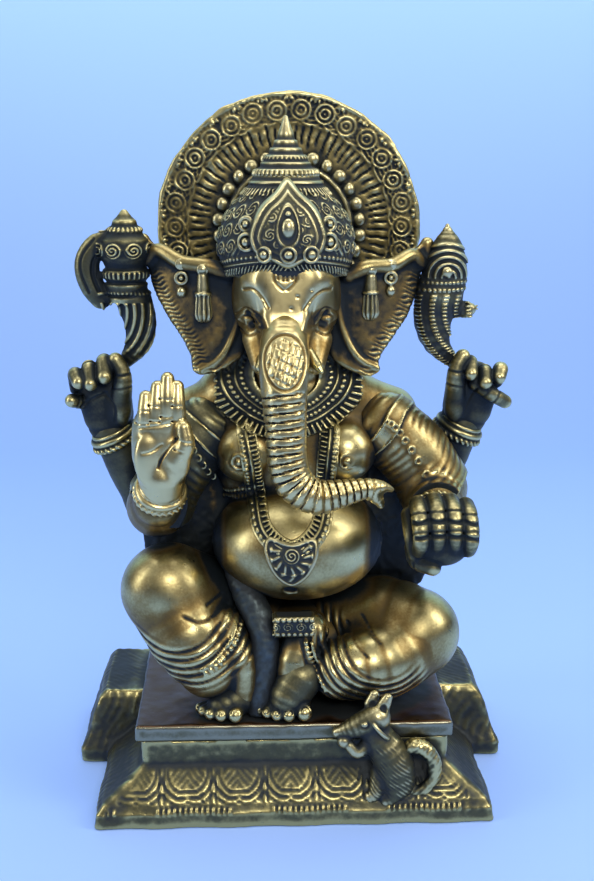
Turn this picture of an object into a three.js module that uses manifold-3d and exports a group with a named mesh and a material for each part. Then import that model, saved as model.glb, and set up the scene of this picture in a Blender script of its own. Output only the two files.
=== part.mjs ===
// A seated, four-armed, elephant-headed deity cast in brass, with a round halo, on a stepped
// lotus plinth, with a mouse climbing the plinth's front.
//
// Statuettes of this kind are sand-cast in sections that are brazed together and filed: the open
// plinth is a hollow shell, and the figure's sections and ornaments are solid castings.
// Each section is a mesh of its own here. Neighbours keep the joint's clearance between them.
//
// Frame: millimetres, +Z up, +X to the viewer's right, -Y to the front.
// The origin is the centre of the plinth's underside.
import * as THREE from "three";
import { mergeVertices } from "three/addons/utils/BufferGeometryUtils.js";
import Module from "manifold-3d";

const wasm = await Module();
wasm.setup();

// ---------------------------------------------------------------- driving dimensions
const CROWN_HEIGHT = 248; // from the seat's top to the crown's tip
const PLINTH_WIDTH = 168; // across the front step
const PLINTH_DEPTH = 118; // front to back
const WING_REACH = 13; // how far each side step stands out past the front step
const FOOT_BAND = 6; // the upright band that stands on the table
const PETAL_RISE = 15; // the sloping zone with the lotus petals
const PETAL_INSET = 19; // how far that zone leans in at the sides
const FRONT_INSET = 13.3; // and at the front and back
const NECK_RISE = 12; // the plain neck over the petals
const SLAB_RISE = 8; // the seat slab on the neck
const SLAB_OVERHANG = 2; // the slab's edge past the neck
const WALL = 4; // cast wall of the hollow plinth
const WING_DEPTH = 60; // how far the side steps reach forward from the plinth's back
const CLEARANCE = 0.35; // between neighbouring castings
const HALO_RADIUS = 58.5;
const HALO_THICKNESS = 4;
const BOSS_RADIUS = 33.6; // the halo's middle, edged with beads
const BOSS_THICKNESS = 2.4;
const BEAD_RADIUS = 2.6;
const CLOTH = 2.4; // thickness of the shawls over the arms
const BANGLE = 1.9; // radius of a bangle's section
const RIVET_RADIUS = 3;
const RIVET_GRIP = 5; // how far the halo's rivet reaches into its lug
const RIVET_HEAD = 2;

// The figure's points are written for this crown height, and follow the real one.
const DRAWN_HEIGHT = 248;
const scale = CROWN_HEIGHT / DRAWN_HEIGHT;

const neckBottom = FOOT_BAND + PETAL_RISE;
const slabBottom = neckBottom + NECK_RISE;
const seatTop = slabBottom + SLAB_RISE;
const neckWidth = PLINTH_WIDTH - 2 * PETAL_INSET;
const neckDepth = PLINTH_DEPTH - 2 * FRONT_INSET;

// ---------------------------------------------------------------- solids
// A closed geometry as a solid that can be cut and joined.
function solid(geometry) {
  const bare = new THREE.BufferGeometry();
  bare.setAttribute("position", geometry.getAttribute("position"));
  if (geometry.index) bare.setIndex(geometry.index);
  const merged = mergeVertices(bare, 1e-3);
  return new wasm.Manifold(
    new wasm.Mesh({
      numProp: 3,
      vertProperties: new Float32Array(merged.attributes.position.array),
      triVerts: new Uint32Array(merged.index.array),
    }),
  );
}

const join = (...solids) => solids.reduce((whole, next) => whole.add(next));
const cut = (whole, ...others) => others.reduce((left, next) => left.subtract(next), whole);

// The main body of a section, without the crumbs that a cut leaves at a thin edge.
function trimmed(whole) {
  const bodies = whole.decompose();
  return bodies.reduce((best, next) => (next.volume() > best.volume() ? next : best));
}

function mesh(name, shape, material) {
  const main = trimmed(shape);
  const { vertProperties, triVerts, numProp } = main.getMesh();
  const geometry = new THREE.BufferGeometry();
  const positions = new Float32Array((vertProperties.length / numProp) * 3);
  for (let i = 0; i < positions.length / 3; i++)
    positions.set(vertProperties.subarray(i * numProp, i * numProp + 3), i * 3);
  geometry.setAttribute("position", new THREE.BufferAttribute(positions, 3));
  geometry.setIndex(new THREE.BufferAttribute(new Uint32Array(triVerts), 1));
  geometry.computeVertexNormals();
  const made = new THREE.Mesh(geometry, material);
  made.name = name;
  return made;
}

// ---------------------------------------------------------------- forms
// A point of the figure, measured from the middle of the seat's top.
const at = ([x, y, z]) => new THREE.Vector3(x * scale, y * scale, z * scale + seatTop);

function ball(centre, radii, grow = 0, sides = 14, rings = 8) {
  const geometry = new THREE.SphereGeometry(1, sides, rings);
  geometry.rotateX(Math.PI / 2);
  geometry.scale(...radii.map((r) => r * scale + grow));
  const { x, y, z } = at(centre);
  geometry.translate(x, y, z);
  return solid(geometry);
}

// A tapered limb with round ends through stations [x, y, z, radius]. flat squeezes its section
// from front to back.
function limb(stations, { grow = 0, sides = 8, steps = 2, flat = 1 } = {}) {
  const curve = new THREE.CatmullRomCurve3(stations.map(at), false, "centripetal");
  const count = (stations.length - 1) * steps;
  const rings = [];
  const radiusAt = (t) => {
    const place = Math.min(t * (stations.length - 1), stations.length - 1 - 1e-6);
    const i = Math.floor(place);
    const [a, b] = [stations[i][3], stations[i + 1][3]];
    return (a + (b - a) * (place - i)) * scale + grow;
  };
  const addRing = (centre, tangent, radius) => rings.push({ centre, tangent, radius });
  const capAngle = Math.PI / 4;
  const start = curve.getTangent(0);
  const end = curve.getTangent(1);
  const addCap = (t, way) => {
    const radius = radiusAt(t);
    const centre = curve.getPoint(t).addScaledVector(way, Math.sin(capAngle) * radius);
    addRing(centre, t ? end : start, Math.cos(capAngle) * radius);
  };
  addCap(0, start.clone().negate());
  for (let i = 0; i <= count; i++)
    addRing(curve.getPoint(i / count), curve.getTangent(i / count), radiusAt(i / count));
  addCap(1, end);
  const poles = [
    curve.getPoint(0).addScaledVector(start, -radiusAt(0)),
    curve.getPoint(1).addScaledVector(end, radiusAt(1)),
  ];
  return solid(skin(rings, poles, sides, flat));
}

// Stretches a surface over rings, closed by a pole at each end.
function skin(rings, poles, sides, flat) {
  const positions = [];
  let side = null;
  for (const { centre, tangent, radius } of rings) {
    const across = side ?? new THREE.Vector3(1, 0.2, 0.1);
    side = across.clone().addScaledVector(tangent, -across.dot(tangent)).normalize();
    const up = tangent.clone().cross(side).normalize();
    for (let i = 0; i < sides; i++) {
      const angle = (i / sides) * 2 * Math.PI;
      const offset = side.clone().multiplyScalar(Math.cos(angle) * radius);
      offset.addScaledVector(up, Math.sin(angle) * radius);
      offset.y *= flat;
      positions.push(...centre.clone().add(offset).toArray());
    }
  }
  const first = positions.length / 3;
  for (const pole of poles) positions.push(...pole.toArray());
  const faces = [];
  for (let r = 0; r < rings.length - 1; r++)
    for (let i = 0; i < sides; i++) {
      const [a, b] = [r * sides + i, r * sides + ((i + 1) % sides)];
      faces.push(a, b, b + sides, a, b + sides, a + sides);
    }
  const last = (rings.length - 1) * sides;
  for (let i = 0; i < sides; i++) {
    const next = (i + 1) % sides;
    faces.push(first, next, i, first + 1, last + i, last + next);
  }
  const geometry = new THREE.BufferGeometry();
  geometry.setAttribute("position", new THREE.Float32BufferAttribute(positions, 3));
  geometry.setIndex(faces);
  return geometry;
}

// A leaf that is thick in the middle and thin at its rim. The rim is a closed curve through
// [x, z] points, and bow(x, z) gives the leaf's place along Y.
function leaf(rim, centre, thickness, bow, { grow = 0, sides = 18, rings = 6 } = {}) {
  const curve = new THREE.CatmullRomCurve3(
    rim.map(([x, z]) => new THREE.Vector3(x, 0, z)),
    true,
    "centripetal",
  );
  const geometry = new THREE.SphereGeometry(1, sides, rings);
  const place = geometry.getAttribute("position");
  const point = new THREE.Vector3();
  for (let i = 0; i < place.count; i++) {
    point.fromBufferAttribute(place, i);
    const share = Math.hypot(point.x, point.z);
    const turn = (Math.atan2(point.z, point.x) / (2 * Math.PI) + 1) % 1;
    const edge = curve.getPoint(turn);
    const [dx, dz] = [edge.x - centre[0], edge.z - centre[1]];
    const reach = 1 + grow / Math.max(Math.hypot(dx, dz) * scale, 1);
    const x = centre[0] + dx * share * reach;
    const z = centre[1] + dz * share * reach;
    const depth = point.y * (thickness / 2 + grow / scale);
    const moved = at([x, bow(x, z) + depth, z]);
    place.setXYZ(i, moved.x, moved.y, moved.z);
  }
  return upright(solid(geometry), geometry);
}

// A solid with its faces turned outwards.
function upright(made, geometry) {
  if (made.volume() > 0) return made;
  const order = geometry.index.array;
  for (let i = 0; i < order.length; i += 3) [order[i], order[i + 1]] = [order[i + 1], order[i]];
  return solid(geometry);
}

// A turned form: profile [radius, height] pairs from the axis and back to it.
function turned(profile, sides = 24) {
  const points = profile.map(([radius, height]) => new THREE.Vector2(radius, height));
  const geometry = new THREE.LatheGeometry(points, sides);
  geometry.rotateX(Math.PI / 2);
  return upright(solid(geometry), geometry);
}

function ring(centre, axis, radius, thickness, grow = 0, sides = 16) {
  const geometry = new THREE.TorusGeometry(radius, thickness + grow, 6, sides);
  const turn = new THREE.Quaternion().setFromUnitVectors(
    new THREE.Vector3(0, 0, 1),
    new THREE.Vector3(...axis).normalize(),
  );
  geometry.applyQuaternion(turn);
  const { x, y, z } = at(centre);
  geometry.translate(x, y, z);
  return solid(geometry);
}

function block([x0, y0, z0], [x1, y1, z1]) {
  const geometry = new THREE.BoxGeometry(x1 - x0, y1 - y0, z1 - z0);
  geometry.translate((x0 + x1) / 2, (y0 + y1) / 2, (z0 + z1) / 2);
  return solid(geometry);
}

// The half of space on the far side of a plane, as a large block.
function beyond(point, normal, reach = 120) {
  const geometry = new THREE.BoxGeometry(reach, reach, reach);
  geometry.translate(0, 0, reach / 2);
  geometry.applyQuaternion(
    new THREE.Quaternion().setFromUnitVectors(
      new THREE.Vector3(0, 0, 1),
      new THREE.Vector3(...normal).normalize(),
    ),
  );
  const { x, y, z } = at(point);
  geometry.translate(x, y, z);
  return solid(geometry);
}

// ---------------------------------------------------------------- plinth
// A stack of rectangles [half width, half depth, height], closed by its first and last.
function stack(levels, middle = 0) {
  const corners = [
    [-1, -1],
    [1, -1],
    [1, 1],
    [-1, 1],
  ];
  const positions = levels.flatMap(([w, d, z]) =>
    corners.flatMap(([sx, sy]) => [sx * w, middle + sy * d, z]),
  );
  const faces = [0, 2, 1, 0, 3, 2];
  for (let level = 0; level < levels.length - 1; level++)
    for (let i = 0; i < 4; i++) {
      const [a, b] = [level * 4 + i, level * 4 + ((i + 1) % 4)];
      faces.push(a, b, b + 4, a, b + 4, a + 4);
    }
  const top = (levels.length - 1) * 4;
  faces.push(top, top + 1, top + 2, top, top + 2, top + 3);
  const geometry = new THREE.BufferGeometry();
  geometry.setAttribute("position", new THREE.Float32BufferAttribute(positions, 3));
  geometry.setIndex(faces);
  return solid(geometry);
}

// The side steps stand in the rear half of the plinth and lean in less than its front.
const wingMiddle = (PLINTH_DEPTH - WING_DEPTH) / 2;
const wingHalf = WING_DEPTH / 2;
const wingWidth = PLINTH_WIDTH / 2 + WING_REACH;
const wingLean = 4;

function plinthStack(shrink, floor) {
  const [w, d] = [PLINTH_WIDTH / 2 - shrink, PLINTH_DEPTH / 2 - shrink];
  const [nw, nd] = [neckWidth / 2 - shrink, neckDepth / 2 - shrink];
  return stack([
    [w, d, floor],
    [w, d, FOOT_BAND - shrink / 2],
    [nw, nd, neckBottom - shrink],
    [nw, nd, slabBottom - shrink],
  ]);
}

function wingStack(shrink, floor) {
  const rise = slabBottom - shrink;
  return stack(
    [
      [wingWidth - shrink, wingHalf - shrink, floor],
      [wingWidth - shrink, wingHalf - shrink, FOOT_BAND - shrink / 2],
      [wingWidth - wingLean - shrink, wingHalf - 3 - shrink, 0.75 * rise],
      [wingWidth - 2 * wingLean - shrink, wingHalf - 6 - shrink, rise],
    ],
    wingMiddle,
  );
}

const plinthForm = () => join(plinthStack(0, 0), wingStack(0, 0));

const hollow = join(plinthStack(WALL, -1), wingStack(WALL, -1));
const plinth = cut(plinthForm(), hollow);

const slabWidth = neckWidth / 2 + SLAB_OVERHANG;
const slabDepth = neckDepth / 2 + SLAB_OVERHANG;
const slabEdge = 1.2;
const seatSlab = stack([
  [slabWidth - slabEdge, slabDepth - slabEdge, slabBottom + CLEARANCE],
  [slabWidth, slabDepth, slabBottom + CLEARANCE + slabEdge],
  [slabWidth, slabDepth, seatTop - slabEdge],
  [slabWidth - slabEdge, slabDepth - slabEdge, seatTop],
]);
const onSeat = (shape) =>
  cut(shape, block([-150, -150, -50], [150, 150, seatTop + CLEARANCE]));

// ---------------------------------------------------------------- body
// Rounded masses of the torso: [centre, radii].
const HIPS = [[2, 9, 14], [45, 32, 25]];
const BACK = [[2, 11, 76], [31, 20, 44]];
const BELLY = [[3.5, -10, 67], [37, 31, 27.5]];
const CHEST = [[1, 1, 104], [33, 22, 30]];
const BREASTS = [
  [[-20, -11, 108], [12.5, 12.5, 13]],
  [[23, -11, 108], [12.5, 12.5, 13]],
];
const SHOULDERS = [
  [-37, 3, 119, 12.5],
  [2, 5, 123, 15],
  [41, 3, 119, 12.5],
];
const NECK = [
  [-2, 3, 124, 22],
  [-2, -1, 141, 17],
];

function bodyForm(grow = 0) {
  const masses = [HIPS, BACK, BELLY, CHEST, ...BREASTS];
  return join(
    ...masses.map(([centre, radii]) => ball(centre, radii, grow)),
    limb(SHOULDERS, { grow }),
    limb(NECK, { grow, sides: 10, steps: 1 }),
  );
}

// How far forward the torso reaches at (x, z), which is where ornaments lie on it.
function skinAt(x, z) {
  const reach = [BELLY, CHEST, ...BREASTS].map(([c, r]) => {
    const inside = 1 - ((x - c[0]) / r[0]) ** 2 - ((z - c[2]) / r[2]) ** 2;
    return inside > 0 ? c[1] - r[1] * Math.sqrt(inside) : 0;
  });
  return Math.min(...reach);
}

// ---------------------------------------------------------------- legs and feet
const RIGHT_THIGH = [
  [-14, 8, 22, 21],
  [-38, -7, 37, 21],
  [-53, -17, 50, 18.5],
];
const RIGHT_CALF = [
  [-53, -18, 50, 18.5],
  [-45, -27, 34, 17],
  [-33, -33, 19, 12],
  [-22, -34, 11, 8.5],
];
const LEFT_THIGH = [
  [16, 8, 22, 21],
  [42, -3, 27, 21],
  [57, -10, 28, 17],
];
const LEFT_CALF = [
  [57, -13, 25, 16.5],
  [38, -27, 21, 15.5],
  [19, -35, 21, 12],
  [6, -37, 20, 9.5],
];
const RIGHT_FOOT = [
  [-20, -31, 5, 7],
  [-27, -36, 5, 7.5],
  [-32, -39.5, 4, 5.5],
];
const LEFT_FOOT = [
  [3, -37, 15, 8.5],
  [-3, -39, 8, 7.5],
  [-6, -40.5, 5, 5.5],
];
// Toes from the big one to the little one: [root, tip, radius].
const RIGHT_TOES = [
  [[-26, -39, 4], [-27, -44, 3], 3.1],
  [[-29, -40, 4], [-32, -44, 3], 2.6],
  [[-31, -39, 4], [-35.5, -42, 3], 2.4],
  [[-33, -38, 4], [-38, -39.5, 3], 2.3],
  [[-33, -36, 4], [-39, -36, 3], 2.2],
];
const LEFT_TOES = [
  [[1, -41, 6], [2, -44.5, 3], 3.1],
  [[-3, -41, 5], [-3.5, -45, 3], 2.6],
  [[-6, -41, 5], [-7.5, -44.5, 3], 2.4],
  [[-9, -40, 5], [-11, -43, 3], 2.3],
  [[-10, -38, 5], [-13.5, -40.5, 3], 2.2],
];

function legForm(thigh, calf, grow = 0) {
  return join(limb(thigh, { grow, sides: 10 }), limb(calf, { grow, sides: 10 }));
}

function footForm(foot, toes, grow = 0) {
  const digits = toes.map(([root, tip, radius]) =>
    limb([[...root, radius], [...tip, radius]], { grow, sides: 5, steps: 1 }),
  );
  return join(limb(foot, { grow, steps: 1 }), ...digits);
}

// ---------------------------------------------------------------- arms and hands
// Each arm: upper arm, then forearm to the wrist.
const ARMS = {
  front_right: {
    upper: [[-37, -2, 118, 12.5], [-49, -8, 101, 12], [-57, -14, 85, 11.5]],
    fore: [[-57, -15, 85, 11.5], [-56, -24, 91, 10], [-54.5, -30, 98.5, 8]],
  },
  front_left: {
    upper: [[41, -2, 118, 13], [54, -3, 105, 13.5], [62, -4, 91, 12.5]],
    fore: [[62, -6, 90, 12.5], [61, -18, 86, 11], [60, -29, 83, 8.5]],
  },
  rear_right: {
    upper: [[-38, 12, 114, 11], [-51, 15, 94, 11], [-60, 14, 79, 11]],
    fore: [[-60, 14, 79, 11], [-70, 12, 96, 10.5], [-78, 9, 113, 8.3]],
  },
  rear_left: {
    upper: [[42, 12, 114, 11], [51, 15, 97, 11], [57, 14, 82, 11]],
    fore: [[57, 14, 82, 11], [68, 12, 98, 10.5], [76, 9, 115, 8.3]],
  },
};

const armForm = ({ upper, fore }, grow = 0) => join(limb(upper, { grow }), limb(fore, { grow }));

// The wrist's end, and the way the forearm points there.
function wristOf({ fore }) {
  const [before, end] = fore.slice(-2);
  const way = [0, 1, 2].map((i) => end[i] - before[i]);
  const length = Math.hypot(...way);
  return { end, way: way.map((w) => w / length), radius: end[3] };
}

function bangleOf(arm, grow = 0) {
  const { end, way, radius } = wristOf(arm);
  return ring(end.slice(0, 3), way, radius * scale + BANGLE + CLEARANCE, BANGLE, grow);
}

// Each hand: its palm, then its fingers as lists of stations.
const HANDS = {
  front_right: {
    palm: [[-54, -32, 103, 8.5], [-54, -33, 113, 11], [-53.5, -32.5, 124, 10.5]],
    flat: 0.62,
    fingers: [
      [[-63, -33, 126, 2.9], [-63.4, -32, 135, 2.5]],
      [[-58, -33, 128, 3], [-58.3, -31.5, 141, 2.6]],
      [[-52.2, -33, 129, 3.1], [-51.8, -31, 145, 2.7]],
      [[-46.6, -33, 128, 3], [-45.6, -31.5, 141, 2.7]],
      [[-45.5, -35, 114, 4.4], [-43.8, -36.5, 122, 3.6], [-44.2, -36.5, 129, 3]],
    ],
  },
  front_left: {
    palm: [[60, -32, 82, 9.5], [60, -38, 81, 12], [60.5, -42, 83, 10.5]],
    flat: 1,
    fingers: [50.5, 57.2, 63.8, 70.3].map((x, i) => [
      [x, -42, 95.5 - i, 3.4],
      [x + 0.3, -48.5, 90 - i, 3.5],
      [x + 0.2, -50.5, 81 - i / 2, 3.5],
      [x, -47, 72.5 + i, 3.2],
    ]),
  },
  rear_right: {
    palm: [[-79, 9, 117, 8.5], [-80, 8, 127, 11], [-81, 7.5, 136, 10]],
    flat: 0.7,
    fingers: [
      [[-92, 7, 138, 3.2], [-92, 3, 143, 3], [-90.5, -1, 138, 2.8]],
      [[-86, 7, 140, 3.3], [-86, 2, 145, 3.1], [-85, -2, 139, 2.9]],
      [[-79.5, 7, 140, 3.4], [-79.5, 1, 145, 3.2], [-79, -3, 140, 3]],
      [[-93.5, 5, 131, 2.8], [-95, 2, 130.5, 2.8]],
      [[-72, 3, 132, 3.6], [-71.5, -1.5, 140, 3.3], [-72.5, 0, 150, 2.8]],
    ],
  },
  rear_left: {
    palm: [[77, 9, 118, 8.5], [79, 8, 128, 11], [80.5, 7.5, 136, 10]],
    flat: 0.7,
    fingers: [
      [[90, 7, 138, 3.2], [91, 2, 143, 3], [89.5, -2, 139, 2.8]],
      [[84, 7, 138, 3.3], [84, 1, 142, 3.1], [83.5, -3, 136, 2.9]],
      [[78, 7, 140, 3.3], [77.5, 1, 145, 3.1], [77, -2, 141, 2.9]],
      [[82, 0, 134, 3], [89, -1, 130, 3], [94, 1, 126, 2.8]],
      [[72, 3, 132, 3.6], [71.5, -1.5, 141, 3.3], [73.5, 0, 151, 2.8]],
    ],
  },
};

function handForm({ palm, flat, fingers }, grow = 0) {
  return join(
    limb(palm, { grow, flat, steps: 1 }),
    ...fingers.map((finger) => limb(finger, { grow, sides: 5, steps: 1 })),
  );
}

// ---------------------------------------------------------------- held attributes
// The goad in the rear right hand: a turned head on a curved horn, with a hooked blade.
const GOAD_HORN = [
  [-68.5, 5, 148, 3.4],
  [-64.5, 5, 158, 6.2],
  [-65, 5, 172, 7.2],
];
const GOAD_AXIS = [-69, 5];
const GOAD_TOP = 210;
const GOAD_PROFILE = [
  [0, 172],
  [7.4, 172],
  [8.2, 177],
  [9.4, 184],
  [9.6, 190],
  [10.6, 194],
  [10, 199],
  [3, GOAD_TOP - 2],
  [0, GOAD_TOP],
];
const BLADE = [
  [-78, 5, 196, 3.4],
  [-87, 5, 193, 4.6],
  [-88.5, 5, 184, 5.4],
  [-84.5, 5, 174, 5],
];
// The lotus bud in the rear left hand, on a curved horn of beaded rows.
const BUD_HORN = [
  [66.5, 5, 148, 3.4],
  [61, 5, 162, 7.4],
  [64, 5, 178, 9],
];
const BUD = [
  [65.5, 5, 176, 9.2],
  [66.5, 5, 186, 9],
  [66.6, 5, 195, 5],
  [66.6, 5, 201.5, 1.4],
];
const BUD_SPUR = [
  [70, 5, 170, 3.6],
  [75.5, 5, 167, 2.6],
];

// A profile with a clearance all round.
function grown(profile, grow) {
  const heights = profile.map(([, z]) => z);
  const [low, high] = [Math.min(...heights), Math.max(...heights)];
  const ends = (z) => (z === low ? z - grow : z === high ? z + grow : z);
  return profile.map(([r, z]) => [r > 0 ? r + grow : 0, ends(z)]);
}

// A turned form stands on the figure's own point, so its profile is scaled like the rest.
function turnedAt([x, y], profile, sides = 16) {
  const made = turned(profile.map(([r, z]) => [r * scale, z * scale]), sides);
  return made.translate([x * scale, y * scale, seatTop]);
}

const goadForm = (grow = 0) =>
  join(
    limb(GOAD_HORN, { grow }),
    turnedAt(GOAD_AXIS, grown(GOAD_PROFILE, grow)),
    limb(BLADE, { grow, flat: 0.6, steps: 1 }),
  );
const budForm = (grow = 0) =>
  join(limb(BUD_HORN, { grow }), limb(BUD, { grow }), limb(BUD_SPUR, { grow, steps: 1 }));

// ---------------------------------------------------------------- head
const SKULL = [[-2, -3, 173], [23.5, 24, 25]];
const CHEEKS = [[-2, -7, 157], [19, 20, 17]];
const MUZZLE = [
  [-2.5, -14, 172, 16],
  [-3, -24, 160, 13.5],
];
const TRUNK = [
  [-3.5, -33, 155, 11.6],
  [-4, -39, 143, 10.3],
  [-3.3, -43, 125, 9.2],
  [-3, -45, 113, 8.5],
  [0.6, -47, 104, 8.2],
  [9, -48, 98.5, 7.5],
  [20, -46, 99.5, 5.7],
  [29.5, -43, 100.5, 4.1],
  [35.5, -41, 99, 2.7],
];

function headForm(grow = 0) {
  return join(
    ball(...SKULL, grow),
    ball(...CHEEKS, grow),
    limb(MUZZLE, { grow, sides: 10, steps: 1 }),
  );
}
const trunkForm = (grow = 0) => limb(TRUNK, { grow, sides: 10, steps: 2 });

const TUSKS = {
  right_tusk: [[-13, -25, 152, 2.6], [-15, -31, 147, 2]],
  left_tusk: [[9.5, -27, 154, 2.8], [12.5, -35, 149, 2.2], [14, -38, 147.5, 1.2]],
};

// Ear rims, as [x, z] points from the root's top round the tip and the lobe.
const EARS = {
  right_ear: {
    rim: [
      [-20, 160], [-21, 178], [-28, 189], [-38, 190], [-48, 190], [-56, 193.5], [-62, 197],
      [-59, 184], [-53, 169], [-46, 157], [-40, 149], [-38, 142.5], [-28, 144], [-21, 149],
    ],
    middle: [-36, 170],
  },
  left_ear: {
    rim: [
      [18, 160], [17, 150], [25, 143], [34.5, 142.5], [39, 149], [46, 160], [54, 171],
      [57, 182], [58.5, 195], [53, 192], [45, 188.5], [36, 189], [26, 188], [18.5, 178],
    ],
    middle: [35, 170],
  },
};
const EAR_THICKNESS = 6;
// The ear stands on the head's side and turns back towards its rim.
const earBow = (x, z) => {
  const out = (Math.abs(x + 2) - 20) / 40;
  return -7 + 11 * out - 3 * Math.sin(Math.PI * Math.max(0, Math.min(out, 1))) + (z - 170) * 0.04;
};
const earForm = ({ rim, middle }, grow = 0) => leaf(rim, middle, EAR_THICKNESS, earBow, { grow });

// Ear ornaments: a short chain of drops in front of each ear.
const PENDANTS = {
  right_ear_pendants: [
    [[-44.5, -8.5, 189, 2.2], [-44.5, -10, 180, 2.8]],
    [[-36, -9.5, 187, 2.2], [-36, -11.5, 176, 3], [-35.5, -11.5, 169, 3.6]],
  ],
  left_ear_pendants: [
    [[40, -8.5, 189, 2.2], [41, -10, 180, 2.8], [41.5, -10, 176, 2.8]],
    [[32.5, -9.5, 186, 2.2], [32, -11.5, 176, 3], [32, -11.5, 169, 3.6]],
  ],
};
const PENDANT_BAR = 1.8;

function pendantForm(chains) {
  const [first, second] = chains;
  const bar = [[...first[0].slice(0, 3), PENDANT_BAR], [...second[0].slice(0, 3), PENDANT_BAR]];
  return join(
    limb(bar, { sides: 5, steps: 1 }),
    ...chains.map((chain) => limb(chain, { sides: 6, steps: 1 })),
  );
}

// ---------------------------------------------------------------- crown
const CROWN_AXIS = [-2, -4];
const CROWN_PROFILE = [
  [0, 184],
  [25, 184],
  [26.5, 188],
  [27.6, 196],
  [27.4, 203],
  [25, 211],
  [20, 218],
  [14.5, 223],
  [0, 223],
];
const SPIRE_PROFILE = [
  [0, 223],
  [13, 223],
  [13.2, 227],
  [9.5, 229.5],
  [8.6, 233],
  [6.2, 236],
  [5.2, 239],
  [3.2, 242],
  [2.2, 245],
  [0, DRAWN_HEIGHT],
];
const PLAQUE_RIM = [
  [12, 200], [7.5, 212], [-2, 224], [-11.5, 212], [-16, 200], [-12, 190], [-2, 186], [8, 190],
];
const PLAQUE_MIDDLE = [-2, 203];
const PLAQUE_THICKNESS = 5;

// The crown's front at (x, z), with the crown taken as a ball.
const crownFront = (x, z) => {
  const rise = Math.max(0, z - 200) / 30;
  const radius = 27.5 * Math.sqrt(Math.max(0, 1 - rise * rise));
  return CROWN_AXIS[1] - Math.sqrt(Math.max(radius ** 2 - (x + 2) ** 2, 9));
};
const crownForm = (grow = 0) => turnedAt(CROWN_AXIS, grown(CROWN_PROFILE, grow), 18);
const plaqueForm = (grow = 0) =>
  leaf(PLAQUE_RIM, PLAQUE_MIDDLE, PLAQUE_THICKNESS, crownFront, { grow, sides: 16, rings: 4 });

// ---------------------------------------------------------------- halo
const HALO_CENTRE = [0.5, 35, 200.5];
const LUG_RADIUS = 7;
const LUG_HEIGHT = 186;

// A turned form about an axis along Y through (x, z) of the figure, starting at place y.
function alongY(profile, [x, , z], y, sides) {
  const geometry = new THREE.LatheGeometry(
    profile.map(([radius, depth]) => new THREE.Vector2(radius, depth)),
    sides,
  );
  const made = upright(solid(geometry), geometry);
  return made.translate([x * scale, y, z * scale + seatTop]);
}

const haloFront = HALO_CENTRE[1] * scale - HALO_THICKNESS / 2;
const haloBack = haloFront + HALO_THICKNESS;
const haloSides = 40;
const rimWidth = 2.5;
const rimProud = 1;

function haloForm() {
  const profile = [
    [0, 0],
    [HALO_RADIUS - rimWidth, 0],
    [HALO_RADIUS - rimWidth, -rimProud],
    [HALO_RADIUS, -rimProud],
    [HALO_RADIUS, HALO_THICKNESS],
    [0, HALO_THICKNESS],
  ];
  return alongY(profile, HALO_CENTRE, haloFront, haloSides);
}

const lugPlace = [HALO_CENTRE[0], 0, LUG_HEIGHT];
const rivetHole = (radius, from, to) =>
  alongY([[0, 0], [radius, 0], [radius, to - from], [0, to - from]], lugPlace, from, 12);

// The boss stands before the disc, and its edge swells to the height of the beads.
const bossBack = haloFront - CLEARANCE;

function bossForm() {
  const inner = BOSS_RADIUS - 2 * BEAD_RADIUS;
  const profile = [
    [0, -BOSS_THICKNESS],
    [inner, -BOSS_THICKNESS],
    [inner + 0.6 * BEAD_RADIUS, -1.9 * BEAD_RADIUS],
    [inner + 1.4 * BEAD_RADIUS, -1.9 * BEAD_RADIUS],
    [BOSS_RADIUS, -0.8 * BEAD_RADIUS],
    [BOSS_RADIUS - 0.4 * BEAD_RADIUS, 0],
    [0, 0],
  ];
  return alongY(profile, HALO_CENTRE, bossBack, 32);
}

// ---------------------------------------------------------------- ornaments on the body
// Ornaments lie on the body along [x, z] points, spaced evenly so that they follow its masses.
function onBody(points, count, radius, proud) {
  const curve = new THREE.CatmullRomCurve3(points.map(([x, z]) => new THREE.Vector3(x, 0, z)));
  return curve.getSpacedPoints(count).map(({ x, z }) => [x, skinAt(x, z) - proud, z, radius]);
}

const COLLAR = [[-29, 126], [-17, 119], [-2, 116], [14, 119], [28, 126]];
const COLLAR_RADIUS = 4.6;
const collarForm = (grow = 0) =>
  limb(onBody(COLLAR, 8, COLLAR_RADIUS, 0.6), { grow, flat: 0.75, steps: 1 });

// The long garland, as [x, z] points down one side, round the pendant and up the other.
const GARLAND = [
  [-19, 114], [-17, 104], [-15, 90], [-11, 79], [-2, 72], [8, 79], [13, 92], [14, 104], [15, 114],
];
const GARLAND_RADIUS = 2;

const garlandForm = (grow = 0) =>
  limb(onBody(GARLAND, 18, GARLAND_RADIUS, 1.4), { grow, sides: 6, steps: 1 });

const PENDANT_RIM = [
  [9, 70], [8.5, 76], [-1, 74], [-10.5, 76], [-11, 70], [-7, 62], [-1, 59.5], [5, 62],
];
const pendantOnBelly = () =>
  leaf(PENDANT_RIM, [-1, 68], 4, (x, z) => skinAt(x, z) - 1.6, { sides: 14, rings: 4 });

const BUCKLE = { middle: [0, -39, 40.5], size: [17, 5, 10] };
const SASH = [
  [-10, -37, 34, 4.6],
  [-13, -40, 22, 4.2],
  [-16.5, -42, 10, 4],
  [-17, -43, 4, 3.6],
];

function buckleForm(grow = 0) {
  const { middle, size } = BUCKLE;
  const geometry = new THREE.BoxGeometry(...size.map((s) => s * scale + 2 * grow));
  geometry.rotateX(-0.25);
  const { x, y, z } = at(middle);
  geometry.translate(x, y, z);
  return solid(geometry);
}

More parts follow.
